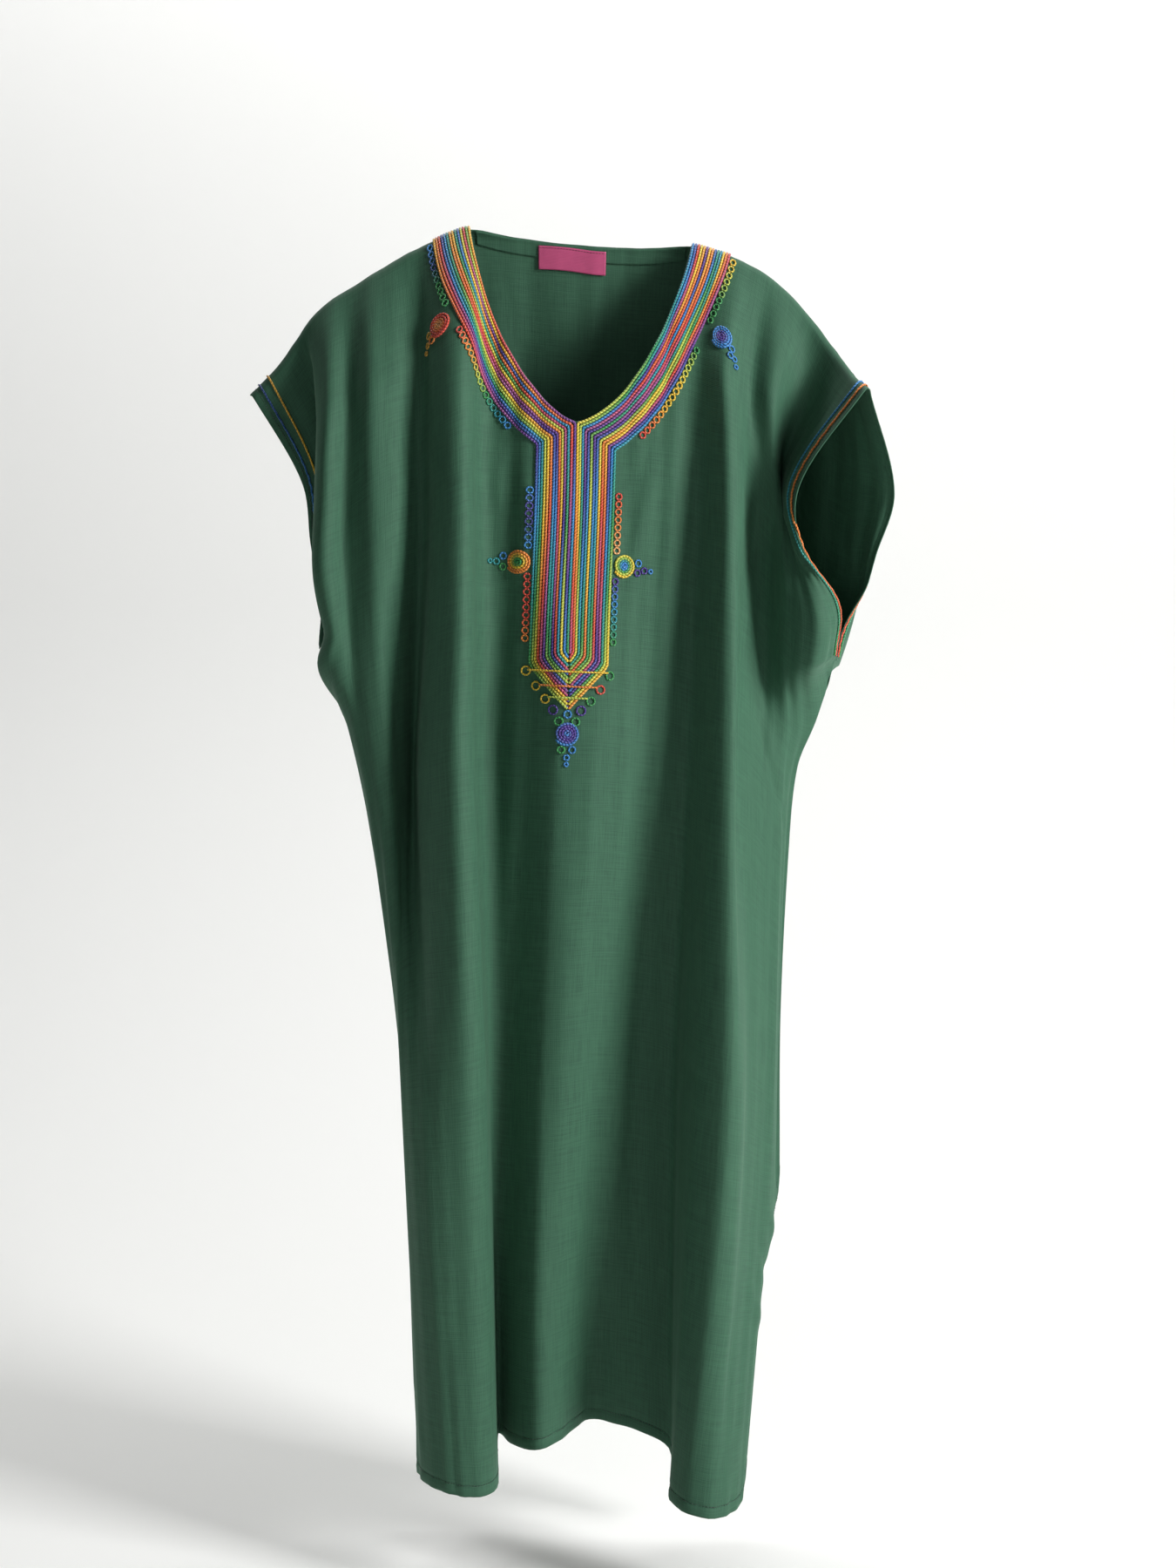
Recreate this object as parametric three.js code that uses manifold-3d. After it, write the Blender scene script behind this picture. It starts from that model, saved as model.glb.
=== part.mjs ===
// A Moroccan kaftan of the gandoura cut: a front and a back panel with the short wide sleeves
// cut in one with them, a V neck with a corded band that runs down into a pointed placket,
// ring chains, corded medallions and two cords round each cuff. It hangs filled out, as on
// shoulders, with its neck, cuffs, side slits and hem open.
//
// Frame: millimetres, +Z up, the front faces -Y and +X is on the viewer's right. The origin is
// midway between the two neck points, at the height of the shoulder line, where it is held.
// Points of the cloth are named by the flat cut: "across" is measured from the centre line
// (negative on the viewer's left) and "down" from the shoulder and overarm seam.

import * as THREE from 'three';
import Module from 'manifold-3d';
import { mergeVertices } from 'three/addons/utils/BufferGeometryUtils.js';

const wasm = await Module();
wasm.setup();

// ---- Driving sizes of the cut (mm) ----
const CLOTH = 1.2;               // thickness of the cloth wall
const SEAM_GAP = 0.3;            // gap between pieces that meet edge to edge
const SEAM_EDGE = 1.4;           // how far a side edge stops short of its seam line
const LIFT = 1.2;                // clear height of a sewn-on piece above its panel
const NECK_HALF = 117;           // neck opening, centre to neck point
const NECK_DEPTH = 211;          // bottom of the V below the shoulder line
const BACK_NECK_DEPTH = 10;      // dip of the back neckline
const CUFF_HALF = 420;           // centre to cuff, along the overarm seam
const CUFF_DEPTH = 340;          // flat opening of a cuff
const SIDE_HALF = 330;           // centre to side seam below the underarm curve
const HEM_HALF = 344;            // centre to slit edge at the hem
const SIDE_TOP = 455;            // where the underarm curve becomes the side seam
const SLIT_TOP = 965;            // top of the side slits
const HEM_DOWN = 1270;           // length of the cut, shoulder to hem
const CORNER = 84;               // radius of the rounded slit corners
const BODY_HALF = 290;           // inside this the cloth falls straight from the shoulder
const SHOULDER_ROLL = 9;         // radius of the rounded shoulder and overarm ridge
const SLEEVE_RISE = 0.18;        // share of its length that the sleeve end loses as it tips out
const NECK_ROUND = 1.5;          // how round the V is at the neck points
const NECK_SHARP = 1.7;          // how sharp the V is at its foot
const FACING_WIDTH = 15;         // turned facing inside the back neck
const FACING = 0.8;              // thickness of that facing
const FACING_LIFT = 0.5;         // clear height of the facing, and of the label above it
const LABEL = { left: -45, right: 27, top: 13, bottom: 36, thick: 1 };

// ---- Sizes of the trim (mm) ----
const BAND_WIDTH = 42;
const PLACKET_HALF = 42;
const PLACKET_SHOULDER = 462;    // where the placket starts to narrow
const PLACKET_POINT = 506;
const TRIM = 1.8;                // height of the corded trim
const CHAIN_WIDTH = 7.6;
const CHAIN_GAP = 0.6;           // between the placket and its ring chains
const MEDALLION_R = 13.2;
const MEDALLION_RISE = 0.6;      // how much higher a medallion is than the band
const CUFF_CORD = 2.4;
const CUFF_CORD_END = 22;        // how far the cuff cords stop short of the cuff corner
const CUFF_CORD_INSETS = [14, 27];

// ---- The shoulder and overarm seam, where both panels meet ----
// across the cut | x and y in the frame | drop below the origin
const SHOULDER = [
  { across: -420, x: -350, y: 2, drop: 166 },
  { across: -375, x: -319, y: 0, drop: 134 },
  { across: -345, x: -301, y: 0, drop: 108 },
  { across: -318, x: -286, y: 0, drop: 88 },
  { across: -295, x: -269, y: 0, drop: 71 },
  { across: -250, x: -233, y: 0, drop: 48 },
  { across: -200, x: -189, y: 0, drop: 21 },
  { across: -157, x: -154, y: 0, drop: 4 },
  { across: -117, x: -117, y: 0, drop: -9 },
  { across: 0, x: 0, y: 0, drop: 0 },
  { across: 117, x: 117, y: 0, drop: 9 },
  { across: 157, x: 156, y: 0, drop: 20 },
  { across: 200, x: 193, y: 0, drop: 38 },
  { across: 240, x: 223, y: -2, drop: 64 },
  { across: 280, x: 247, y: -16, drop: 96 },
  { across: 330, x: 270, y: -48, drop: 138 },
  { across: 375, x: 281, y: -78, drop: 163 },
  { across: 420, x: 290, y: -108, drop: 180 },
];

// ---- The folds of each panel ----
// A row is one line of the cloth from the shoulder to the hem. x is its place and "out" its
// distance in front of the origin (behind it for the back) at each of the levels.
const LEVELS = [120, 200, 300, 420, 560, 880, 1270];
const FRONT_FOLDS = [
  { across: -420, x: [-293, -284, -272, -250, -222, -160, -150], out: [14, 13, 4, -2, -12, -20, -20] },
  { across: -375, x: [-272, -264, -254, -238, -216, -162, -152], out: [16, 12, 0, -6, -14, -22, -15] },
  { across: -345, x: [-252, -247, -240, -230, -212, -166, -155], out: [12, 8, -4, -8, -16, -24, -8] },
  { across: -318, x: [-273, -273, -273, -246, -222, -172, -160], out: [44, 56, 60, 30, 0, -8, 4] },
  { across: -295, x: [-260, -260, -259, -244, -222, -178, -165], out: [68, 79, 82, 58, 28, 14, 22] },
  { across: -268, x: [-239, -239, -240, -231, -212, -184, -168], out: [52, 61, 62, 62, 52, 38, 46] },
  { across: -240, x: [-217, -215, -212, -206, -196, -183, -163], out: [64, 76, 80, 72, 56, 62, 70] },
  { across: -215, x: [-194, -191, -188, -187, -184, -174, -150], out: [58, 71, 76, 56, 32, 83, 88] },
  { across: -190, x: [-169, -167, -165, -169, -174, -157, -132], out: [40, 47, 46, 28, 12, 99, 100] },
  { across: -160, x: [-147, -146, -144, -151, -160, -134, -112], out: [60, 78, 88, 84, 76, 114, 103] },
  { across: -135, x: [-124, -122, -119, -121, -126, -110, -92], out: [68, 90, 103, 110, 116, 118, 94] },
  { across: -117, x: [-111, -111, -110, -109, -109, -96, -84], out: [56, 75, 86, 92, 98, 100, 72] },
  { across: -98, x: [-97, -100, -104, -106, -110, -96, -88], out: [46, 54, 54, 54, 56, 66, 32] },
  { across: -75, x: [-75, -78, -82, -86, -92, -94, -87], out: [50, 53, 48, 37, 26, 28, 4] },
  { across: -48, x: [-48, -51, -54, -58, -65, -76, -72], out: [56, 62, 60, 52, 42, 20, 26] },
  { across: -18, x: [-20, -22, -24, -29, -33, -47, -47], out: [60, 66, 64, 65, 64, 50, 62] },
  { across: 12, x: [9, 7, 5, 0, -3, -18, -20], out: [60, 66, 65, 69, 71, 60, 44] },
  { across: 43, x: [40, 38, 35, 30, 26, 11, 4], out: [56, 63, 62, 65, 66, 46, 6] },
  { across: 75, x: [69, 67, 64, 57, 52, 40, 34], out: [54, 61, 60, 58, 55, 27, 8] },
  { across: 105, x: [95, 93, 91, 84, 78, 69, 64], out: [50, 58, 57, 52, 45, 16, 22] },
  { across: 135, x: [119, 118, 117, 112, 107, 96, 92], out: [52, 55, 50, 45, 42, 18, 30] },
  { across: 155, x: [135, 133, 131, 127, 122, 106, 94], out: [58, 63, 60, 60, 60, 54, 64] },
  { across: 175, x: [150, 149, 147, 142, 137, 122, 90], out: [68, 82, 88, 90, 92, 94, 98] },
  { across: 192, x: [165, 163, 160, 157, 154, 147, 102], out: [56, 74, 84, 93, 100, 114, 120] },
  { across: 207, x: [178, 173, 166, 161, 158, 162, 120], out: [50, 58, 58, 67, 76, 102, 130] },
  { across: 225, x: [191, 184, 178, 174, 170, 168, 138], out: [62, 48, 32, 46, 55, 72, 126] },
  { across: 255, x: [202, 198, 196, 190, 188, 182, 152], out: [62, 48, 38, 36, 40, 46, 108] },
  { across: 290, x: [208, 208, 212, 208, 206, 198, 164], out: [34, 46, 66, 42, 18, 22, 88] },
  { across: 330, x: [212, 217, 238, 222, 216, 206, 166], out: [22, 56, 88, 36, -12, -4, 64] },
  { across: 375, x: [214, 221, 262, 238, 226, 212, 172], out: [56, 80, 76, 22, -14, -8, 56] },
  { across: 400, x: [218, 223, 272, 244, 234, 216, 176], out: [80, 86, 62, 10, -12, -8, 54] },
  { across: 420, x: [222, 226, 277, 248, 240, 218, 178], out: [98, 80, 46, 2, -10, -8, 54] },
];
const BACK_FOLDS = [
  { across: -420, x: [-292, -283, -272, -250, -222, -160, -150], out: [28, 29, 26, 18, 12, 20, 20] },
  { across: -375, x: [-286, -280, -272, -248, -222, -168, -158], out: [44, 49, 50, 40, 30, 30, 24] },
  { across: -330, x: [-272, -268, -264, -242, -218, -176, -166], out: [48, 57, 62, 46, 34, 36, 34] },
  { across: -290, x: [-252, -251, -250, -232, -206, -176, -164], out: [58, 73, 84, 74, 62, 72, 72] },
  { across: -250, x: [-222, -224, -226, -210, -184, -160, -148], out: [70, 83, 92, 95, 98, 112, 116] },
  { across: -215, x: [-196, -197, -198, -180, -160, -130, -118], out: [54, 61, 64, 76, 88, 102, 106] },
  { across: -180, x: [-168, -169, -170, -156, -140, -118, -108], out: [44, 48, 48, 48, 48, 56, 52] },
  { across: -140, x: [-134, -134, -135, -124, -114, -98, -90], out: [50, 53, 52, 45, 38, 34, 30] },
  { across: -95, x: [-93, -94, -96, -88, -80, -70, -62], out: [54, 61, 64, 63, 62, 62, 66] },
  { across: -50, x: [-50, -51, -52, -49, -46, -40, -34], out: [58, 66, 70, 79, 88, 98, 106] },
  { across: 0, x: [-2, -3, -4, -4, -4, -2, 0], out: [54, 60, 62, 67, 72, 66, 60] },
  { across: 50, x: [46, 44, 42, 40, 38, 32, 30], out: [58, 60, 58, 54, 50, 40, 32] },
  { across: 95, x: [90, 88, 86, 81, 76, 68, 64], out: [54, 61, 64, 65, 66, 68, 70] },
  { across: 140, x: [134, 131, 128, 121, 114, 110, 106], out: [48, 53, 54, 66, 78, 92, 98] },
  { across: 180, x: [172, 168, 162, 149, 136, 130, 124], out: [42, 45, 44, 49, 54, 58, 56] },
  { across: 215, x: [202, 197, 190, 175, 160, 148, 138], out: [50, 57, 60, 52, 44, 44, 38] },
  { across: 250, x: [228, 223, 216, 201, 186, 168, 152], out: [60, 74, 84, 78, 72, 82, 84] },
  { across: 290, x: [252, 248, 244, 226, 208, 190, 166], out: [44, 60, 72, 64, 56, 66, 72] },
  { across: 330, x: [282, 278, 272, 240, 218, 202, 170], out: [16, 33, 46, 38, 30, 36, 44] },
  { across: 375, x: [310, 301, 290, 250, 226, 208, 172], out: [-18, 3, 20, 20, 20, 30, 40] },
  { across: 420, x: [326, 309, 288, 256, 236, 214, 174], out: [-30, -9, 8, 10, 12, 20, 40] },
];

// ---- How far the hem hangs below the origin ----
const FRONT_HEM = [
  { across: -344, z: 1296 },
  { across: -250, z: 1292 },
  { across: -160, z: 1300 },
  { across: -117, z: 1296 },
  { across: -85, z: 1268 },
  { across: -48, z: 1270 },
  { across: -18, z: 1266 },
  { across: 12, z: 1260 },
  { across: 43, z: 1252 },
  { across: 75, z: 1254 },
  { across: 105, z: 1260 },
  { across: 135, z: 1274 },
  { across: 155, z: 1297 },
  { across: 192, z: 1308 },
  { across: 225, z: 1313 },
  { across: 290, z: 1310 },
  { across: 344, z: 1296 },
];
const BACK_HEM = [
  { across: -344, z: 1290 },
  { across: -200, z: 1284 },
  { across: 0, z: 1262 },
  { across: 200, z: 1290 },
  { across: 344, z: 1296 },
];

// ---- Where the side seams lie, from the cuff corner down to the slit ----
const SIDE_SEAMS = {
  left: [
    { down: 340, x: -276, y: -2 },
    { down: 400, x: -256, y: 4 },
    { down: 455, x: -236, y: 10 },
    { down: 560, x: -214, y: 14 },
    { down: 760, x: -184, y: 18 },
    { down: 965, x: -164, y: 20 },
  ],
  right: [
    { down: 340, x: 266, y: -24 },
    { down: 400, x: 247, y: -12 },
    { down: 455, x: 228, y: 0 },
    { down: 560, x: 219, y: 8 },
    { down: 760, x: 211, y: 8 },
    { down: 965, x: 209, y: 4 },
  ],
};

const SEAM_REACH = 75;           // how far in from a seam its pull on the cloth reaches
const SEAM_FADE = 110;           // how far past the ends of the seam the pull dies away

// ---- Small helpers ----
const clamp = (v, low, high) => Math.min(high, Math.max(low, v));
const mix = (a, b, f) => a + (b - a) * f;
function ease(v) {
  const f = clamp(v, 0, 1);
  return f * f * (3 - 2 * f);
}

// A smooth curve through the values at the knots, flat-free and without stray loops.
function curve(knots, values, at) {
  const last = knots.length - 1;
  if (at <= knots[0]) return values[0];
  if (at >= knots[last]) return values[last];
  let i = 0;
  while (at > knots[i + 1]) i += 1;
  const slope = (k) => {
    const a = Math.max(k - 1, 0);
    const b = Math.min(k + 1, last);
    return (values[b] - values[a]) / (knots[b] - knots[a]);
  };
  const span = knots[i + 1] - knots[i];
  const f = (at - knots[i]) / span;
  const f2 = f * f;
  const f3 = f2 * f;
  return (2 * f3 - 3 * f2 + 1) * values[i] + (f3 - 2 * f2 + f) * span * slope(i)
    + (3 * f2 - 2 * f3) * values[i + 1] + (f3 - f2) * span * slope(i + 1);
}
const columns = (rows, knot, value) => [rows.map((r) => r[knot]), rows.map((r) => r[value])];

const shoulderAt = (key, across) => curve(...columns(SHOULDER, 'across', key), across);

// ---- The outline of the flat cut ----
// Half the width at each distance down: the cuff, the underarm curve, then the side.
function halfWidth(down) {
  const underarm = clamp((down - CUFF_DEPTH) / (SIDE_TOP - CUFF_DEPTH), 0, 1);
  const flare = clamp((down - SIDE_TOP) / (HEM_DOWN - SIDE_TOP), 0, 1);
  const hollow = Math.sqrt(1 - (1 - underarm) ** 2);
  return mix(CUFF_HALF, SIDE_HALF, hollow) + (HEM_HALF - SIDE_HALF) * flare;
}
// The neckline is a soft V, rounder towards the neck points.
function frontNeck(across) {
  const share = Math.abs(across) / NECK_HALF;
  return share >= 1 ? 0 : NECK_DEPTH * (1 - share ** NECK_ROUND) ** (1 / NECK_SHARP);
}
function backNeck(across) {
  const share = Math.abs(across) / NECK_HALF;
  return share >= 1 ? 0 : BACK_NECK_DEPTH * (1 - share ** 4);
}
function hemDown(across) {
  const past = Math.max(0, Math.abs(across) - (HEM_HALF - CORNER));
  return HEM_DOWN - CORNER + Math.sqrt(Math.max(0, CORNER ** 2 - past ** 2));
}
// A line of the cloth is named by its place along the overarm seam. Near the sides the lines
// close up where the underarm curve takes the sleeve away.
function acrossAt(line, down) {
  const beyond = (Math.abs(line) - BODY_HALF) / (CUFF_HALF - BODY_HALF);
  if (beyond <= 0) return line;
  return Math.sign(line) * mix(BODY_HALF, halfWidth(down), beyond);
}

// ---- The hanging form: where a point of the flat cut lies in the frame ----
function hung(rows, side, across, down) {
  const along = rows.map((row) => row.across);
  const at = (key, start) => {
    const places = LEVELS.map((_, k) => curve(along, rows.map((row) => row[key][k]), across));
    return curve([0, ...LEVELS], [start, ...places], down);
  };
  const x = at('x', shoulderAt('x', across));
  const out = at('out', side * shoulderAt('y', across));
  return { x, y: side * out };
}

function panelPoint({ rows, hem, side }, across, down) {
  const place = hung(rows, side, across, down);
  const sign = across < 0 ? -1 : 1;
  // The sewn side edges of both panels are drawn to one seam line.
  const seam = across < 0 ? SIDE_SEAMS.left : SIDE_SEAMS.right;
  const sewn = ease((down - CUFF_DEPTH + SEAM_FADE) / SEAM_FADE)
    * (1 - ease((down - SLIT_TOP) / SEAM_FADE));
  const pull = sewn * ease(1 - (halfWidth(down) - Math.abs(across)) / SEAM_REACH);
  if (pull > 0) {
    const edge = hung(rows, side, sign * halfWidth(down), down);
    place.x += pull * (curve(...columns(seam, 'down', 'x'), down) - edge.x);
    place.y += pull * (curve(...columns(seam, 'down', 'y'), down) - edge.y);
  }
  // The cloth rolls over the shoulder ridge before it falls.
  const turn = Math.min(down / SHOULDER_ROLL, Math.PI / 2);
  const straight = Math.max(0, down - SHOULDER_ROLL * Math.PI / 2);
  const rolled = SHOULDER_ROLL * (1 - Math.cos(turn)) + straight;
  const drop = shoulderAt('drop', across);
  const sleeve = 1 - SLEEVE_RISE * ease((Math.abs(across) - BODY_HALF) / (CUFF_HALF - BODY_HALF));
  const length = curve(...columns(hem, 'across', 'z'), across) - drop;
  const hang = sleeve * mix(1, length / HEM_DOWN, ease(down / HEM_DOWN));
  const lift = SHOULDER_ROLL * Math.sin(turn) * (1 - ease(down / LEVELS[0]));
  return new THREE.Vector3(
    place.x,
    place.y + side * lift,
    -drop - rolled * hang,
  );
}
const FRONT = { name: 'front_panel', rows: FRONT_FOLDS, hem: FRONT_HEM, neck: frontNeck, side: -1 };
const BACK = { name: 'back_panel', rows: BACK_FOLDS, hem: BACK_HEM, neck: backNeck, side: 1 };

// The outward normal of a panel, from points a little way around.
function panelNormal(panel, across, down) {
  const step = 2;
  const along = panelPoint(panel, across + step, down).sub(panelPoint(panel, across - step, down));
  const low = panelPoint(panel, across, down + step);
  const high = panelPoint(panel, across, Math.max(0, down - step));
  return along.cross(high.sub(low)).multiplyScalar(-panel.side).normalize();
}

// ---- Closed walls from a grid of cut points ----
// grid[row][column] holds { p, n }: a point and its outward normal. The wall reaches from
// "inner" to "outer" along the normals.
function wallGeometry(grid, inner, outer) {
  const rows = grid.length;
  const cols = grid[0].length;
  const positions = [];
  const layer = (distance) => {
    const first = positions.length / 3;
    grid.forEach((line) => line.forEach(({ p, n }) => {
      positions.push(...p.clone().addScaledVector(n, distance).toArray());
    }));
    return (r, c) => first + r * cols + c;
  };
  const front = layer(outer);
  const back = layer(inner);
  const index = [];
  const quad = (a, b, c, d) => index.push(a, b, c, a, c, d);
  for (let r = 0; r < rows - 1; r += 1) {
    for (let c = 0; c < cols - 1; c += 1) {
      quad(front(r, c), front(r + 1, c), front(r + 1, c + 1), front(r, c + 1));
      quad(back(r, c), back(r, c + 1), back(r + 1, c + 1), back(r + 1, c));
    }
  }
  const rim = [];
  for (let c = 0; c < cols; c += 1) rim.push([0, c]);
  for (let r = 1; r < rows; r += 1) rim.push([r, cols - 1]);
  for (let c = cols - 2; c >= 0; c -= 1) rim.push([rows - 1, c]);
  for (let r = rows - 2; r > 0; r -= 1) rim.push([r, 0]);
  rim.forEach(([r, c], i) => {
    const [nr, nc] = rim[(i + 1) % rim.length];
    quad(front(r, c), front(nr, nc), back(nr, nc), back(r, c));
  });
  const geometry = new THREE.BufferGeometry();
  geometry.setAttribute('position', new THREE.Float32BufferAttribute(positions, 3));
  geometry.setIndex(index);
  return geometry;
}

// Turns a piece's triangles round when its grid runs the other way.
function facingOut(geometry) {
  const p = geometry.attributes.position;
  const index = Array.from(geometry.index.array);
  const corner = (i) => new THREE.Vector3().fromBufferAttribute(p, index[i]);
  let volume = 0;
  for (let i = 0; i < index.length; i += 3) {
    volume += corner(i).dot(corner(i + 1).cross(corner(i + 2)));
  }
  if (volume < 0) {
    for (let i = 0; i < index.length; i += 3) [index[i], index[i + 1]] = [index[i + 1], index[i]];
    geometry.setIndex(index);
  }
  return geometry;
}

// ---- The pieces ----
const WELD = 1e-4;               // corners closer than this are one
const kaftan = new THREE.Group();
const finish = {
  cloth: { color: 0x2e5a43, roughness: 0.82, metalness: 0 },
  band: { color: 0xb9a15f, roughness: 0.6, metalness: 0 },
  ring: { color: 0x5c7fb8, roughness: 0.6, metalness: 0 },
  medallion: { color: 0xd9743c, roughness: 0.6, metalness: 0 },
  label: { color: 0xbf4a78, roughness: 0.7, metalness: 0 },
};
function addPiece(name, geometry, look) {
  const material = new THREE.MeshStandardMaterial(look);
  const mesh = new THREE.Mesh(facingOut(mergeVertices(geometry, WELD)), material);
  mesh.name = name;
  kaftan.add(mesh);
}

// Cuts away what a sewn-on piece would share with the wall below it.
function toSolid(geometry) {
  return new wasm.Manifold(new wasm.Mesh({
    numProp: 3,
    vertProperties: geometry.attributes.position.array,
    triVerts: new Uint32Array(geometry.index.array),
  }));
}
function trimmed(geometry, panel) {
  const clear = toSolid(facingOut(geometry)).subtract(panel.clearance).subtract(panel.wall);
  // Where a fold is tight the cut can leave crumbs, so only the largest body is kept.
  const [main] = clear.decompose().sort((a, b) => b.volume() - a.volume());
  const { vertProperties, triVerts } = main.getMesh();
  const cut = new THREE.BufferGeometry();
  cut.setAttribute('position', new THREE.Float32BufferAttribute(vertProperties, 3));
  cut.setIndex(Array.from(triVerts));
  return cut;
}

const NECK_LINES = [88, 106, 113];       // extra lines where the neckline is steep
const ROLL_LEVELS = [5, 14, 40];         // extra levels round the rolled shoulder
const LINE_SPACING = 40;
const LEVEL_SPACING = 85;
// Lines of the cloth across both panels: every fold line, and no step wider than "widest".
function lineSteps(widest) {
  const folds = FRONT_FOLDS.map((row) => row.across);
  const marks = [...folds, ...NECK_LINES, ...NECK_LINES.map((a) => -a)].sort((a, b) => a - b);
  const lines = [marks[0]];
  marks.slice(1).forEach((mark, i) => {
    const pieces = Math.max(1, Math.round((mark - marks[i]) / widest));
    for (let k = 1; k <= pieces; k += 1) lines.push(mix(marks[i], mark, k / pieces));
  });
  return lines;
}
function levelSteps(spacing) {
  const marks = [0, ...ROLL_LEVELS, CUFF_DEPTH, SIDE_TOP, SLIT_TOP, HEM_DOWN];
  const levels = [0];
  marks.slice(1).forEach((mark, i) => {
    const pieces = Math.max(1, Math.round((mark - marks[i]) / spacing));
    for (let k = 1; k <= pieces; k += 1) levels.push(mix(marks[i], mark, k / pieces));
  });
  return levels;
}
const LINES = lineSteps(LINE_SPACING);
const LINE_LEVELS = levelSteps(LEVEL_SPACING);

// A panel's grid: its first row is the neckline and the shoulder seam, its last row the hem.
function panelGrid(panel) {
  return LINE_LEVELS.map((level) => LINES.map((line) => {
    const start = Math.max(panel.neck(line), SEAM_GAP);
    let down = level < CUFF_DEPTH ? start + level * (1 - start / CUFF_DEPTH) : level;
    if (level > SLIT_TOP) {
      const hem = hemDown(acrossAt(line, HEM_DOWN));
      down = mix(SLIT_TOP, hem, (level - SLIT_TOP) / (HEM_DOWN - SLIT_TOP));
    }
    const edge = Math.abs(line) === CUFF_HALF ? Math.sign(line) * SEAM_EDGE : 0;
    const across = acrossAt(line, down) - edge;
    return { down, p: panelPoint(panel, across, down), n: panelNormal(panel, across, down) };
  }));
}
[FRONT, BACK].forEach((panel) => {
  panel.grid = panelGrid(panel);
  const cloth = wallGeometry(panel.grid, -CLOTH / 2, CLOTH / 2);
  addPiece(panel.name, cloth, finish.cloth);
  panel.wall = toSolid(facingOut(cloth));
  const reach = CLOTH / 2 + SEAM_GAP;
  panel.clearance = toSolid(facingOut(wallGeometry(panel.grid, -reach, reach)));
});

// The point of a panel's own facets at a place of the cut above the slits, and its normal.
function onPanel(panel, across, down) {
  const past = (Math.abs(across) - BODY_HALF) / (halfWidth(down) - BODY_HALF);
  const line = past <= 0 ? across : Math.sign(across) * mix(BODY_HALF, CUFF_HALF, past);
  const c = clamp(LINES.findIndex((step) => step > line) - 1, 0, LINES.length - 2);
  const fc = clamp((line - LINES[c]) / (LINES[c + 1] - LINES[c]), 0, 1);
  const rowDown = (r) => mix(panel.grid[r][c].down, panel.grid[r][c + 1].down, fc);
  let r = 0;
  while (r < LINE_LEVELS.length - 2 && rowDown(r + 1) < down) r += 1;
  // A cell is two triangles, split from its first corner to the opposite one.
  const cell = [[r, c], [r + 1, c], [r + 1, c + 1], [r, c + 1]];
  const [a, b, far, d] = cell.map(([i, j]) => panel.grid[i][j]);
  const low = (down - a.down - fc * (far.down - b.down)) / (b.down - a.down);
  const high = (down - a.down - fc * (d.down - a.down)) / (far.down - d.down);
  const inLow = low >= fc;
  const fr = clamp(inLow ? low : high, 0, 1);
  const corners = inLow
    ? [[a, 1 - fr], [b, fr - fc], [far, fc]]
    : [[a, 1 - fc], [d, fc - fr], [far, fr]];
  const blend = (key) => corners.reduce(
    (sum, [corner, share]) => sum.addScaledVector(corner[key], share),
    new THREE.Vector3(),
  );
  return { p: blend('p'), n: blend('n') };
}

// ---- Trim: flat strips and discs laid on a panel ----
// cut: rows of [across, down] points. "face" is +1 outside the panel and -1 inside it, and
// "base" is the clear height below the piece.
function laidOn(panel, cut, { face = 1, base = LIFT, height = TRIM } = {}) {
  const grid = cut.map((line) => line.map(([across, down]) => {
    const { p, n } = onPanel(panel, across, down);
    return { p, n: n.multiplyScalar(face) };
  }));
  return trimmed(wallGeometry(grid, CLOTH / 2 + base, CLOTH / 2 + base + height), panel);
}
const evenly = (count) => Array.from({ length: count + 1 }, (_, i) => i / count);

// The neckline, and the lines that run beside it a distance out into the panel.
function besideNeck(share, distance) {
  const across = NECK_HALF * share;
  const down = frontNeck(across);
  const slope = [
    NECK_ROUND * share ** (NECK_ROUND - 1) / NECK_HALF,
    NECK_SHARP * (down / NECK_DEPTH) ** (NECK_SHARP - 1) / NECK_DEPTH,
  ];
  const length = Math.hypot(...slope);
  return [across + distance * slope[0] / length, down + distance * slope[1] / length];
}
// The share of the neckline whose line beside it meets a wanted place, found by halving.
function shareWhere(distance, miss) {
  let [low, high] = [0, 1];
  const rising = miss(besideNeck(1, distance)) > 0;
  for (let i = 0; i < 40; i += 1) {
    const middle = (low + high) / 2;
    if ((miss(besideNeck(middle, distance)) > 0) === rising) high = middle;
    else low = middle;
  }
  return (low + high) / 2;
}
// A strip between two distances from the neckline. It starts at the given places down and
// then runs to where "end" says for its distance.
function neckStrip(hand, from, to, starts, end, along, across) {
  const column = (c) => {
    const distance = mix(from, to, c);
    const shares = starts.map((mark) => shareWhere(distance, ([, down]) => down - mark));
    const last = shareWhere(distance, end(c));
    const rest = evenly(along).slice(1).map((a) => mix(shares[shares.length - 1], last, a));
    return [...shares, ...rest].map((share) => besideNeck(share, distance));
  };
  const cut = evenly(across).map(column);
  return cut[0].map((_, i) => cut.map((line) => [hand * line[i][0], line[i][1]]));
}

const MITRE = besideNeck(shareWhere(BAND_WIDTH, ([x]) => x - PLACKET_HALF), BAND_WIDTH)[1];
const BAND_INSET = 1;                            // from the neck edge to the band
const BAND_STARTS = [3, 5, 9, 14, 25, 40];       // where the band bends over the shoulder
const CUFF_STARTS = [3, 5, 9];
const CUFF_CORD_TOP = 14;
const hands = [['left', -1], ['right', 1]];
hands.forEach(([name, hand]) => {
  const toMitre = (c) => ([x]) => x - (SEAM_GAP + (PLACKET_HALF - SEAM_GAP) * c);
  const strip = neckStrip(hand, BAND_INSET, BAND_WIDTH, BAND_STARTS, toMitre, 13, 3);
  addPiece(`neck_band_${name}`, laidOn(FRONT, strip), finish.band);
});

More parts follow.
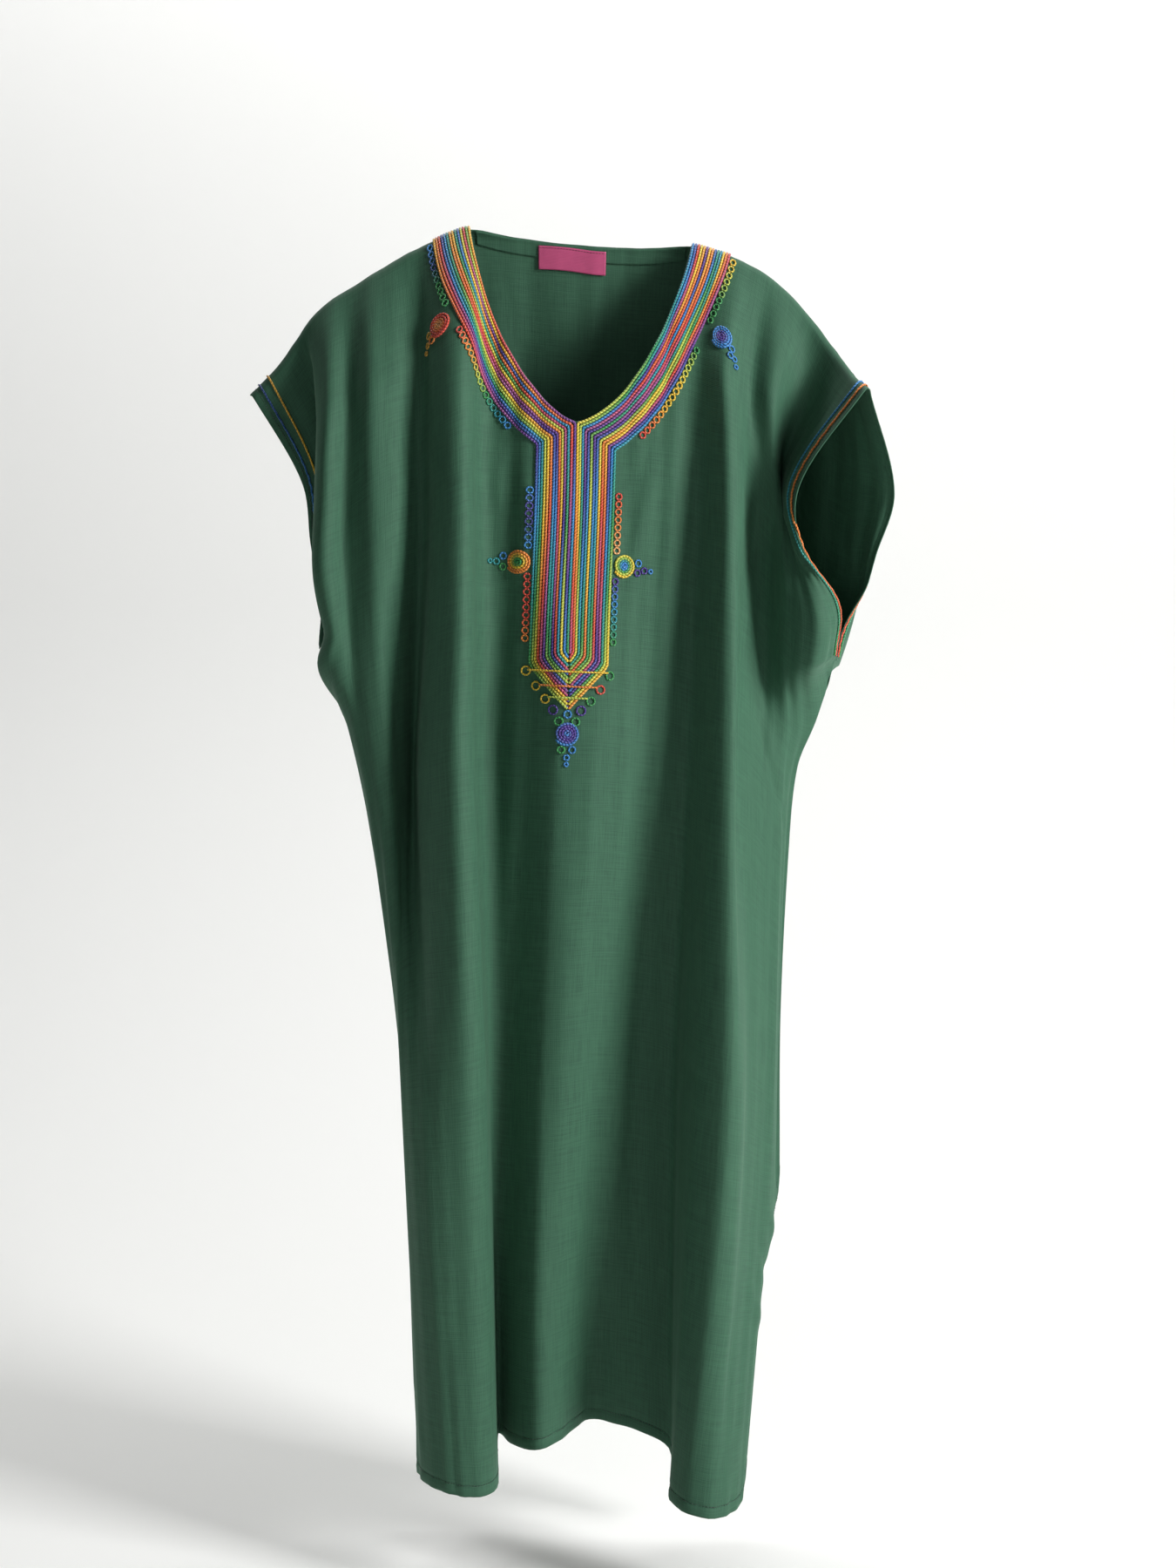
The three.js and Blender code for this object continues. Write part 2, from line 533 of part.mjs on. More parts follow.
const PLACKET_DROP = 2.6;                        // from the band's mitre to the placket
const placket = evenly(10).map((a) => evenly(4).map((c) => {
  const across = PLACKET_HALF * (2 * c - 1);
  const side = Math.abs(2 * c - 1);
  const top = mix(NECK_DEPTH, MITRE, side) + PLACKET_DROP;
  const bottom = mix(PLACKET_POINT, PLACKET_SHOULDER, side);
  return [across, mix(top, bottom, a)];
}));
addPiece('placket', laidOn(FRONT, placket), finish.band);

// Corded medallions: flat round discs.
const MEDALLIONS = [
  { name: 'medallion_neck_left', across: -157, down: 106 },
  { name: 'medallion_neck_right', across: 165, down: 100 },
  { name: 'medallion_placket_left', across: -56, down: 358 },
  { name: 'medallion_placket_right', across: 56, down: 356 },
  { name: 'medallion_pendant', across: 0, down: 532 },
];
const DISC_RINGS = [0.04, 0.55, 1];      // shares of the radius
const DISC_SIDES = 16;
function disc(panel, centre, radius) {
  const cut = DISC_RINGS.map((r) => evenly(DISC_SIDES).slice(0, -1).map((a) => [
    centre.across + radius * r * Math.cos(2 * Math.PI * a),
    centre.down + radius * r * Math.sin(2 * Math.PI * a),
  ]));
  const top = cut.flat().map(([across, down]) => onPanel(panel, across, down));
  const positions = [];
  const base = CLOTH / 2 + LIFT;
  [base + TRIM + MEDALLION_RISE, base].forEach((distance) => top.forEach(({ p, n }) => {
    positions.push(...p.clone().addScaledVector(n, distance).toArray());
  }));
  const at = (ring, i, layer) => layer * top.length + ring * DISC_SIDES + (i % DISC_SIDES);
  const index = [];
  const quad = (a, b, c, d) => index.push(a, b, c, a, c, d);
  const rim = DISC_RINGS.length - 1;
  for (let i = 0; i < DISC_SIDES; i += 1) {
    for (let ring = 0; ring < rim; ring += 1) {
      quad(at(ring, i, 0), at(ring + 1, i, 0), at(ring + 1, i + 1, 0), at(ring, i + 1, 0));
      quad(at(ring, i, 1), at(ring, i + 1, 1), at(ring + 1, i + 1, 1), at(ring + 1, i, 1));
    }
    quad(at(rim, i, 0), at(rim, i, 1), at(rim, i + 1, 1), at(rim, i + 1, 0));
    if (i > 0 && i < DISC_SIDES - 1) {
      index.push(at(0, 0, 0), at(0, i, 0), at(0, i + 1, 0));
      index.push(at(0, 0, 1), at(0, i + 1, 1), at(0, i, 1));
    }
  }
  const geometry = new THREE.BufferGeometry();
  geometry.setAttribute('position', new THREE.Float32BufferAttribute(positions, 3));
  geometry.setIndex(index);
  return trimmed(geometry, panel);
}
MEDALLIONS.forEach((medallion) => {
  addPiece(medallion.name, disc(FRONT, medallion, MEDALLION_R), finish.medallion);
});

// Chains of small rings, along the neck band and along the placket.
const CHAIN_START = BAND_WIDTH + 1;
const NECK_CHAINS = [
  { name: 'upper', top: 14, bottom: 86 },
  { name: 'lower', top: 122, bottom: 220 },
];
const PLACKET_CHAINS = [
  { name: 'upper', top: 284, bottom: 341 },
  { name: 'lower', top: 372, bottom: 436 },
];
hands.forEach(([side, hand]) => {
  NECK_CHAINS.forEach(({ name, top, bottom }) => {
    const end = () => ([, down]) => down - bottom;
    const strip = neckStrip(hand, CHAIN_START, CHAIN_START + CHAIN_WIDTH, [top], end, 8, 1);
    addPiece(`chain_neck_${side}_${name}`, laidOn(FRONT, strip), finish.ring);
  });
  PLACKET_CHAINS.forEach(({ name, top, bottom }) => {
    const strip = evenly(4).map((a) => evenly(1).map((c) => [
      hand * (PLACKET_HALF + CHAIN_GAP + CHAIN_WIDTH * c),
      mix(top, bottom, a),
    ]));
    addPiece(`chain_placket_${side}_${name}`, laidOn(FRONT, strip), finish.ring);
  });
});

// Two cords round each cuff, on both panels.
const cuffPlaces = [
  ...CUFF_STARTS,
  ...evenly(10).map((a) => mix(CUFF_CORD_TOP, CUFF_DEPTH - CUFF_CORD_END, a)),
];
[FRONT, BACK].forEach((panel) => hands.forEach(([side, hand]) => {
  CUFF_CORD_INSETS.forEach((inset, i) => {
    const strip = cuffPlaces.map((down) => evenly(1).map((c) => [
      hand * (CUFF_HALF - inset - CUFF_CORD * (c - 0.5)),
      down,
    ]));
    const where = panel === FRONT ? 'front' : 'back';
    addPiece(`cuff_cord_${side}_${where}_${i + 1}`, laidOn(panel, strip), finish.ring);
  });
}));

// The back neck: a narrow turned facing inside, and the label sewn on it.
const FACING_ENDS = 4;           // how far the facing stops short of the neck points
const facing = evenly(1).map((a) => evenly(14).map((c) => {
  const across = mix(-1, 1, c) * (NECK_HALF - FACING_ENDS);
  return [across, backNeck(across) + 2 * SEAM_GAP + FACING_WIDTH * a];
}));
const facingStack = { face: -1, base: FACING_LIFT, height: FACING };
addPiece('back_neck_facing', laidOn(BACK, facing, facingStack), finish.cloth);

const label = evenly(2).map((a) => evenly(6).map((c) => [
  mix(LABEL.left, LABEL.right, c),
  mix(LABEL.top, LABEL.bottom, a),
]));
const labelStack = { face: -1, base: 2 * FACING_LIFT + FACING, height: LABEL.thick };
addPiece('neck_label', laidOn(BACK, label, labelStack), finish.label);

export default kaftan;
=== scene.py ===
import math

import bmesh
import bpy
import numpy as np
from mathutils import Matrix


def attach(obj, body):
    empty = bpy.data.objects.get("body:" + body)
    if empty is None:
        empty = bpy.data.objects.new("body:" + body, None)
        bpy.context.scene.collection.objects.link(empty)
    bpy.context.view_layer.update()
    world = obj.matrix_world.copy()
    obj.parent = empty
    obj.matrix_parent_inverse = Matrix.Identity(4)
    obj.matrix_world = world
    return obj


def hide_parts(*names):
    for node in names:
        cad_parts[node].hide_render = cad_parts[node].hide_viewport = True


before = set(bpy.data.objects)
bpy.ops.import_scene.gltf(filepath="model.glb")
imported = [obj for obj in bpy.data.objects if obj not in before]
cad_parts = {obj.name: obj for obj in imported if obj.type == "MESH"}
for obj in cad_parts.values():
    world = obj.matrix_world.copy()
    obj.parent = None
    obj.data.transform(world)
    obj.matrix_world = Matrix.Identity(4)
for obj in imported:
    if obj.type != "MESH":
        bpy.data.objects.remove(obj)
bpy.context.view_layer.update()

# A Moroccan kaftan of the gandoura cut, hanging filled out. Its cloth is plain-woven viscose,
# and twisted rayon cord is laid in rows round the V, down the pointed placket and in rings and
# spirals beside them. Points of the cloth are named by the flat cut, in millimetres: "across"
# from the centre line and "down" from the shoulder seam. Finished places are in metres.

MM = 0.001

# ---- Sizes of the cut (mm) ----
CLOTH = 1.0              # thickness of the cloth wall
NECK_HALF = 117          # centre to neck point
NECK_DEPTH = 211         # bottom of the V below the shoulder line
NECK_ROUND = 1.5         # how round the V is at the neck points
NECK_SHARP = 1.7         # how sharp the V is at its foot
BACK_NECK_DEPTH = 10
CUFF_HALF = 420          # centre to cuff, along the overarm seam
CUFF_DEPTH = 340         # flat opening of a cuff
SIDE_HALF = 330          # centre to side seam below the underarm curve
HEM_HALF = 344
SIDE_TOP = 455           # where the underarm curve becomes the side seam
SLIT_TOP = 965           # top of the side slits
HEM_DOWN = 1270          # length of the cut, shoulder to hem
CORNER = 84              # radius of the rounded slit corners
BODY_HALF = 290          # inside this the cloth falls straight from the shoulder
SHOULDER_ROLL = 9        # radius of the rounded shoulder ridge
SLEEVE_FALL = 0.18       # share of its length that the sleeve end loses as it tips out
TURNED = 11.0            # width of the turned and stitched edges
SEAM_REACH = 75          # how far in from a seam its pull on the cloth reaches
SEAM_FADE = 110          # how far past the ends of the seam the pull dies away

# ---- Sizes of the trim (mm) ----
CORDS = 14               # cords side by side in half the placket
BAND_WIDTH = 42
PLACKET_HALF = 42
PLACKET_POINT = 508
POINT_SLOPE = 1.07       # how steeply the cords run to the point
CORD_R = 1.42
FINE_CORD_R = 0.95
CUFF_CORD_R = 1.1
CUFF_CORD_INSETS = (14, 27)
RING_PITCH = 7.8
RING_R = 3.1
MEDALLION_R = 13.2
THREAD_R = 0.3
STITCH = 3.2
FACING_WIDTH = 15        # the turned strip inside the back neck
FACING_LIFT = 1.2
LABEL_LIFT = 2.6
LABEL_LEFT = -45
LABEL_RIGHT = 27
LABEL_TOP = 13
LABEL_FOOT = 36
LABEL_WAVE = 0.9         # how far the label's edges wander

# ---- The shoulder and overarm seam: across the cut, x, y, drop ----
SHOULDER = np.array([
    (-420, -350, 2, 166), (-375, -319, 0, 134), (-345, -301, 0, 108), (-318, -286, 0, 88),
    (-295, -269, 0, 71), (-250, -233, 0, 48), (-200, -189, 0, 21), (-157, -154, 0, 4),
    (-117, -117, 0, -9), (0, 0, 0, 0), (117, 117, 0, 9), (157, 156, 0, 20), (200, 193, 0, 38),
    (240, 223, -2, 64), (280, 247, -16, 96), (330, 270, -48, 138), (375, 281, -78, 163),
    (420, 290, -108, 180),
], float)

# ---- The folds: across the cut, x at each level, distance out from the middle ----
LEVELS = (120, 200, 300, 420, 560, 880, 1270)
FRONT_FOLDS = (
    (-420, (-293, -284, -272, -250, -222, -160, -150), (14, 13, 4, -2, -12, -20, -20)),
    (-375, (-272, -264, -254, -238, -216, -162, -152), (16, 12, 0, -6, -14, -22, -15)),
    (-345, (-252, -247, -240, -230, -212, -166, -155), (12, 8, -4, -8, -16, -24, -8)),
    (-318, (-273, -273, -273, -246, -222, -172, -160), (44, 56, 60, 30, 0, -8, 4)),
    (-295, (-260, -260, -259, -244, -222, -178, -165), (68, 79, 82, 58, 28, 14, 22)),
    (-268, (-239, -239, -240, -231, -212, -184, -168), (52, 61, 62, 62, 52, 38, 46)),
    (-240, (-217, -215, -212, -206, -196, -183, -163), (64, 76, 80, 72, 56, 62, 70)),
    (-215, (-194, -191, -188, -187, -184, -174, -150), (58, 71, 76, 56, 32, 83, 88)),
    (-190, (-169, -167, -165, -169, -174, -157, -132), (40, 47, 46, 28, 12, 99, 100)),
    (-160, (-147, -146, -144, -151, -160, -134, -112), (60, 78, 88, 84, 76, 114, 103)),
    (-135, (-124, -122, -119, -121, -126, -110, -92), (68, 90, 103, 110, 116, 118, 94)),
    (-117, (-111, -111, -110, -109, -109, -96, -84), (56, 75, 86, 92, 98, 100, 72)),
    (-98, (-97, -100, -104, -106, -110, -96, -88), (46, 54, 54, 54, 56, 66, 32)),
    (-75, (-75, -78, -82, -86, -92, -94, -87), (50, 53, 48, 37, 26, 28, 4)),
    (-48, (-48, -51, -54, -58, -65, -76, -72), (56, 62, 60, 52, 42, 20, 26)),
    (-18, (-20, -22, -24, -29, -33, -47, -47), (60, 66, 64, 65, 64, 50, 62)),
    (12, (9, 7, 5, 0, -3, -18, -20), (60, 66, 65, 69, 71, 60, 44)),
    (43, (40, 38, 35, 30, 26, 11, 4), (56, 63, 62, 65, 66, 46, 6)),
    (75, (69, 67, 64, 57, 52, 40, 34), (54, 61, 60, 58, 55, 27, 8)),
    (105, (95, 93, 91, 84, 78, 69, 64), (50, 58, 57, 52, 45, 16, 22)),
    (135, (119, 118, 117, 112, 107, 96, 92), (52, 55, 50, 45, 42, 18, 30)),
    (155, (135, 133, 131, 127, 122, 106, 94), (58, 63, 60, 60, 60, 54, 64)),
    (175, (150, 149, 147, 142, 137, 122, 90), (68, 82, 88, 90, 92, 94, 98)),
    (192, (165, 163, 160, 157, 154, 147, 102), (56, 74, 84, 93, 100, 114, 120)),
    (207, (178, 173, 166, 161, 158, 162, 120), (50, 58, 58, 67, 76, 102, 130)),
    (225, (191, 184, 178, 174, 170, 168, 138), (62, 48, 32, 46, 55, 72, 126)),
    (255, (202, 198, 196, 190, 188, 182, 152), (62, 48, 38, 36, 40, 46, 108)),
    (290, (208, 208, 212, 208, 206, 198, 164), (34, 46, 66, 42, 18, 22, 88)),
    (330, (212, 217, 238, 222, 216, 206, 166), (22, 56, 88, 36, -12, -4, 64)),
    (375, (214, 221, 262, 238, 226, 212, 172), (56, 80, 76, 22, -14, -8, 56)),
    (400, (218, 223, 272, 244, 234, 216, 176), (80, 86, 62, 10, -12, -8, 54)),
    (420, (222, 226, 277, 248, 240, 218, 178), (98, 80, 46, 2, -10, -8, 54)),
)
BACK_FOLDS = (
    (-420, (-292, -283, -272, -250, -222, -160, -150), (28, 29, 26, 18, 12, 20, 20)),
    (-375, (-286, -280, -272, -248, -222, -168, -158), (44, 49, 50, 40, 30, 30, 24)),
    (-330, (-272, -268, -264, -242, -218, -176, -166), (48, 57, 62, 46, 34, 36, 34)),
    (-290, (-252, -251, -250, -232, -206, -176, -164), (58, 73, 84, 74, 62, 72, 72)),
    (-250, (-222, -224, -226, -210, -184, -160, -148), (70, 83, 92, 95, 98, 112, 116)),
    (-215, (-196, -197, -198, -180, -160, -130, -118), (54, 61, 64, 76, 88, 102, 106)),
    (-180, (-168, -169, -170, -156, -140, -118, -108), (44, 48, 48, 48, 48, 56, 52)),
    (-140, (-134, -134, -135, -124, -114, -98, -90), (50, 53, 52, 45, 38, 34, 30)),
    (-95, (-93, -94, -96, -88, -80, -70, -62), (54, 61, 64, 63, 62, 62, 66)),
    (-50, (-50, -51, -52, -49, -46, -40, -34), (58, 66, 70, 79, 88, 98, 106)),
    (0, (-2, -3, -4, -4, -4, -2, 0), (54, 60, 62, 67, 72, 66, 60)),
    (50, (46, 44, 42, 40, 38, 32, 30), (58, 60, 58, 54, 50, 40, 32)),
    (95, (90, 88, 86, 81, 76, 68, 64), (54, 61, 64, 65, 66, 68, 70)),
    (140, (134, 131, 128, 121, 114, 110, 106), (48, 53, 54, 66, 78, 92, 98)),
    (180, (172, 168, 162, 149, 136, 130, 124), (42, 45, 44, 49, 54, 58, 56)),
    (215, (202, 197, 190, 175, 160, 148, 138), (50, 57, 60, 52, 44, 44, 38)),
    (250, (228, 223, 216, 201, 186, 168, 152), (60, 74, 84, 78, 72, 82, 84)),
    (290, (252, 248, 244, 226, 208, 190, 166), (44, 60, 72, 64, 56, 66, 72)),
    (330, (282, 278, 272, 240, 218, 202, 170), (16, 33, 46, 38, 30, 36, 44)),
    (375, (310, 301, 290, 250, 226, 208, 172), (-18, 3, 20, 20, 20, 30, 40)),
    (420, (326, 309, 288, 256, 236, 214, 174), (-30, -9, 8, 10, 12, 20, 40)),
)

# ---- How far the hem hangs below the origin: across, z ----
FRONT_HEM = np.array([
    (-344, 1296), (-250, 1292), (-160, 1300), (-117, 1296), (-85, 1268), (-48, 1270), (-18, 1266),
    (12, 1260), (43, 1252), (75, 1254), (105, 1260), (135, 1274), (155, 1297), (192, 1308),
    (225, 1313), (290, 1310), (344, 1296),
], float)
BACK_HEM = np.array([(-344, 1290), (-200, 1284), (0, 1262), (200, 1290), (344, 1296)], float)

# ---- Where the side seams lie: down, x, y ----
LEFT_SEAM = np.array([
    (340, -276, -2), (400, -256, 4), (455, -236, 10), (560, -214, 14), (760, -184, 18),
    (965, -164, 20),
], float)
RIGHT_SEAM = np.array([
    (340, 266, -24), (400, 247, -12), (455, 228, 0), (560, 219, 8), (760, 211, 8), (965, 209, 4),
], float)

# ---- Small creases laid on the folds ----
# across, down, length, turn from upright in degrees, half width, height out, bend
FRONT_CREASES = (
    (-66, 300, 150, 3, 7, -2.2, 4), (-50, 322, 120, -4, 6, 1.8, -3), (-84, 262, 110, 8, 7, 1.6, 3),
    (62, 310, 150, -4, 7, -2.0, 4), (78, 290, 120, -7, 6, 1.7, -4), (92, 330, 140, -2, 8, -1.6, 3),
    (312, 1000, 120, 34, 8, 2.6, 8), (300, 1030, 110, 42, 7, -2.4, 6), (322, 975, 80, 20, 6, 2.0, 4),
    (288, 1075, 120, 50, 9, 1.8, 8), (-312, 1000, 110, -30, 8, 2.2, -6),
    (-296, 1040, 110, -40, 8, -2.0, 6),
    (0, 800, 150, 90, 5, -0.9, 3), (-150, 850, 90, 96, 5, -0.8, 2), (180, 850, 60, 92, 5, -1.0, 2),
    (-38, 985, 70, 4, 5, -1.6, 3), (-166, 1095, 80, -4, 6, -1.6, 2), (-290, 1225, 90, 3, 6, 2.0, 3),
    (-262, 1215, 80, -3, 6, -1.7, 2), (-232, 1225, 70, 4, 5, 1.3, 2), (250, 1215, 90, -5, 7, 1.8, 3),
    (225, 1140, 150, 4, 7, -1.6, 5), (-250, 640, 220, -3, 9, 2.2, 6), (-205, 700, 260, 2, 9, -1.8, 4),
    (240, 420, 190, 22, 9, 2.8, 12), (262, 470, 170, 30, 8, -2.4, 10), (205, 300, 180, 8, 8, 2.2, 6),
    (-268, 300, 170, -10, 8, 2.0, -5), (-300, 400, 120, -28, 8, -2.2, -8),
    (-330, 250, 150, -14, 8, 1.8, -6),
    (348, 190, 170, 18, 8, 2.2, 8), (372, 230, 150, 12, 7, -1.8, 6), (30, 620, 240, 2, 10, 1.2, 6),
    (-20, 1120, 190, -2, 9, 1.4, 5), (95, 1060, 220, 3, 9, -1.4, 4),
)
BACK_CREASES = (
    (-70, 120, 190, 6, 9, 2.0, 5), (75, 140, 180, -7, 9, 1.8, -5), (0, 170, 220, 2, 10, -1.6, 4),
    (-312, 1000, 120, -34, 8, 2.6, -8), (-296, 1040, 110, -42, 7, -2.2, 6), (310, 1005, 120, 34, 8, 2.4, 8),
    (296, 1045, 110, 44, 8, -2.0, 6), (-260, 430, 180, -24, 9, 2.6, -10), (258, 440, 180, 24, 9, 2.6, 10),
    (-230, 500, 190, -16, 8, -2.0, 8), (235, 520, 180, 18, 8, -2.0, 8), (40, 640, 260, 3, 10, 1.6, 6),
    (-60, 820, 240, -2, 9, -1.6, 5), (120, 900, 220, 4, 9, 1.4, 4), (-150, 1080, 190, -3, 8, 1.8, 5),
    (0, 760, 190, 91, 5, -0.9, 3), (60, 1150, 160, 3, 8, -1.6, 3), (-30, 1190, 120, -4, 7, 1.6, 3),
    (340, 210, 160, 16, 8, 2.0, 6), (-340, 220, 160, -16, 8, 2.0, -6),
)

# ---- Colours of the rayon cords ----
DYES = {
    "yellow": "#F6CB3A", "gold": "#DDA63C", "orange": "#EE8A38", "peach": "#F0B070",
    "red": "#DD4A38", "mauve": "#A9578F", "purple": "#4D3592", "navy": "#27407F",
    "blue": "#3786CC", "teal": "#2B9A9E", "green": "#36974F", "lime": "#C4D352",
}
RAINBOW = ("yellow", "orange", "red", "mauve", "purple", "blue", "teal", "green", "lime")


# ---- Small helpers ----
def mix(a, b, f):
    return a + (b - a) * f


def ease(value):
    f = np.clip(value, 0.0, 1.0)
    return f * f * (3 - 2 * f)


def linear(hex_colour):
    """The linear light of an sRGB hex colour."""
    channels = [int(hex_colour[i:i + 2], 16) / 255 for i in (1, 3, 5)]
    return [c / 12.92 if c <= 0.04045 else ((c + 0.055) / 1.055) ** 2.4 for c in channels]


def blended(names, share):
    """Colours along a run of dyes, share 0 to 1."""
    stops = np.array([linear(DYES[name]) for name in names])
    return np.stack([np.interp(share, np.linspace(0, 1, len(stops)), stops[:, c]) for c in range(3)], 1)


def hermite(knots, pick, at):
    """A smooth curve through the values that pick(k) gives at each knot."""
    knots = np.asarray(knots, float)
    last = len(knots) - 1
    inside = np.clip(at, knots[0], knots[last])
    i = np.clip(np.searchsorted(knots, inside, side="right") - 1, 0, last - 1)
    start, end = pick(i), pick(i + 1)

    def spread(values):
        return values.reshape(values.shape + (1,) * (start.ndim - 1))

    def slope(k):
        low, high = np.maximum(k - 1, 0), np.minimum(k + 1, last)
        return (pick(high) - pick(low)) / spread(knots[high] - knots[low])

    span = spread(knots[i + 1] - knots[i])
    f = spread(inside - knots[i]) / span
    return ((2 * f**3 - 3 * f**2 + 1) * start + (f**3 - 2 * f**2 + f) * span * slope(i)
            + (3 * f**2 - 2 * f**3) * end + (f**3 - f**2) * span * slope(i + 1))


def column(table, number, at):
    return hermite(table[:, 0], lambda k: table[k, number], at)


# ---- The outline of the flat cut ----
def half_width(down):
    underarm = np.clip((down - CUFF_DEPTH) / (SIDE_TOP - CUFF_DEPTH), 0, 1)
    flare = np.clip((down - SIDE_TOP) / (HEM_DOWN - SIDE_TOP), 0, 1)
    hollow = np.sqrt(1 - (1 - underarm) ** 2)
    return mix(CUFF_HALF, SIDE_HALF, hollow) + (HEM_HALF - SIDE_HALF) * flare


def front_neck(across):
    share = np.minimum(np.abs(across) / NECK_HALF, 1)
    return NECK_DEPTH * (1 - share**NECK_ROUND) ** (1 / NECK_SHARP)


def back_neck(across):
    share = np.minimum(np.abs(across) / NECK_HALF, 1)
    return BACK_NECK_DEPTH * (1 - share**4)


def hem_down(across):
    past = np.maximum(0, np.abs(across) - (HEM_HALF - CORNER))
    return HEM_DOWN - CORNER + np.sqrt(np.maximum(0, CORNER**2 - past**2))


def across_at(line, down):
    beyond = np.clip((np.abs(line) - BODY_HALF) / (CUFF_HALF - BODY_HALF), 0, 1)
    return np.where(beyond > 0, np.sign(line) * mix(BODY_HALF, half_width(down), beyond), line)


def edge_distance(across, down):
    """How far a point of the cut lies from the nearest turned edge: hem, slit or cuff."""
    far = 1000.0
    reach = np.abs(across)
    past = reach - (HEM_HALF - CORNER)
    low = down - (HEM_DOWN - CORNER)
    corner = np.where((past > 0) & (low > 0), CORNER - np.hypot(past, low), far)
    hem = np.where(past > 0, far, HEM_DOWN - down)
    slit = np.where((down > SLIT_TOP) & (low <= 0), half_width(down) - reach, far)
    cuff = np.where(down < CUFF_DEPTH, CUFF_HALF - reach, far)
    return np.maximum(np.minimum(np.minimum(corner, hem), np.minimum(slit, cuff)), 0)


class Panel:
    """One panel of cloth: its cut, its hanging folds, and the small creases on them."""

    def __init__(self, side, folds, hem, neck, creases, seed):
        self.side, self.hem, self.neck, self.creases = side, hem, neck, creases
        self.across = np.array([row[0] for row in folds], float)
        self.x = np.array([row[1] for row in folds], float)
        self.out = np.array([row[2] for row in folds], float)
        draw = np.random.default_rng(seed)
        waves = 9
        self.waves = np.stack([
            draw.uniform(17, 62, waves), draw.uniform(0, 6.28, waves), draw.uniform(120, 420, waves),
            draw.uniform(0, 6.28, waves), draw.uniform(150, 380, waves),
        ], 1)

    def hung(self, across, down):
        n = np.arange(len(across))

        def at(rows, top):
            places = hermite(self.across, lambda k: rows[k], across)
            values = np.concatenate([top[:, None], places], 1)
            return hermite((0, *LEVELS), lambda k: values[n, k], down)

        x = at(self.x, column(SHOULDER, 1, across))
        out = at(self.out, self.side * column(SHOULDER, 2, across))
        return x, self.side * out

    def form(self, across, down):
        """The hanging form without its small creases, in mm."""
        across, down = np.asarray(across, float), np.asarray(down, float)
        x, y = self.hung(across, down)
        sign = np.where(across < 0, -1.0, 1.0)
        begun = ease((down - CUFF_DEPTH + SEAM_FADE) / SEAM_FADE)
        sewn = begun * (1 - ease((down - SLIT_TOP) / SEAM_FADE))
        pull = sewn * ease(1 - (half_width(down) - np.abs(across)) / SEAM_REACH)
        edge_x, edge_y = self.hung(sign * half_width(down), down)
        left = across < 0
        seam_x = np.where(left, column(LEFT_SEAM, 1, down), column(RIGHT_SEAM, 1, down))
        seam_y = np.where(left, column(LEFT_SEAM, 2, down), column(RIGHT_SEAM, 2, down))
        x = x + pull * (seam_x - edge_x)
        y = y + pull * (seam_y - edge_y)
        turn = np.minimum(down / SHOULDER_ROLL, math.pi / 2)
        rolled = (SHOULDER_ROLL * (1 - np.cos(turn))
                  + np.maximum(0, down - SHOULDER_ROLL * math.pi / 2))
        drop = column(SHOULDER, 3, across)
        sleeve = 1 - SLEEVE_FALL * ease((np.abs(across) - BODY_HALF) / (CUFF_HALF - BODY_HALF))
        length = column(self.hem, 1, across) - drop
        hang = sleeve * mix(1, length / HEM_DOWN, ease(down / HEM_DOWN))
        lift = SHOULDER_ROLL * np.sin(turn) * (1 - ease(down / LEVELS[0]))
        return np.stack([x, y + self.side * lift, -drop - rolled * hang], 1)

    def relief(self, across, down):
        """How far the small creases stand out from the form, in mm."""
        height = np.zeros(len(across))
        for a, d, length, turn, width, rise, bend in self.creases:
            angle = math.radians(turn)
            along = (down - d) * math.cos(angle) + (across - a) * math.sin(angle)
            off = (across - a) * math.cos(angle) - (down - d) * math.sin(angle)
            share = along / (length / 2)
            fade = np.clip(1 - share**2, 0, 1) ** 1.5
            height += rise * fade * np.exp(-((off - bend * share**2) / width) ** 2)
        # Soft uneven waves run mostly down the cloth.
        for width, start, sway, phase, swell in self.waves:
            bend = start + 0.9 * np.sin(down / sway + phase)
            strength = 0.012 * width * (0.45 + 0.55 * np.sin(down / swell + 2 * phase) ** 2)
            height += strength * np.sin(2 * math.pi * across / width + bend)
        calm = ease((down - 6) / 90)
        height *= mix(0.25, 1.0, calm)
        # Turned edges stand a little proud, sink at the stitches and pucker beside them.
        edge = edge_distance(across, down)
        run = across + 1.3 * down
        pucker = np.sin(run / 2.7 + 1.5 * np.sin(run / 31)) * (0.5 + 0.5 * np.sin(run / 47) ** 2)
        height += 0.35 * (1 - ease((edge - TURNED + 1) / 2))
        height -= 0.5 * np.exp(-((edge - TURNED) / 2.2) ** 2)
        height += 0.42 * pucker * np.exp(-((edge - TURNED + 1) / 7.0) ** 2)
        # The shoulder seam sinks a little.
        height -= 0.8 * np.exp(-(down / 2.5) ** 2)
        return height

    def step(self, of, across, down):
        """The outward normal of a surface of across and down."""
        gap = 1.5
        inside = np.clip(across, gap - CUFF_HALF, CUFF_HALF - gap)
        along = of(inside + gap, down) - of(inside - gap, down)
        fall = of(inside, down + gap) - of(inside, np.maximum(down - gap, 0))
        normal = np.cross(along, -fall) * -self.side
        return normal / np.linalg.norm(normal, axis=1, keepdims=True)

    def creased(self, across, down):
        normal = self.step(self.form, across, down)
        return self.form(across, down) + normal * self.relief(across, down)[:, None]

    def surface(self, across, down):
        """Places and outward normals of the finished cloth, in mm."""
        across, down = np.asarray(across, float), np.asarray(down, float)
        return self.creased(across, down), self.step(self.creased, across, down)

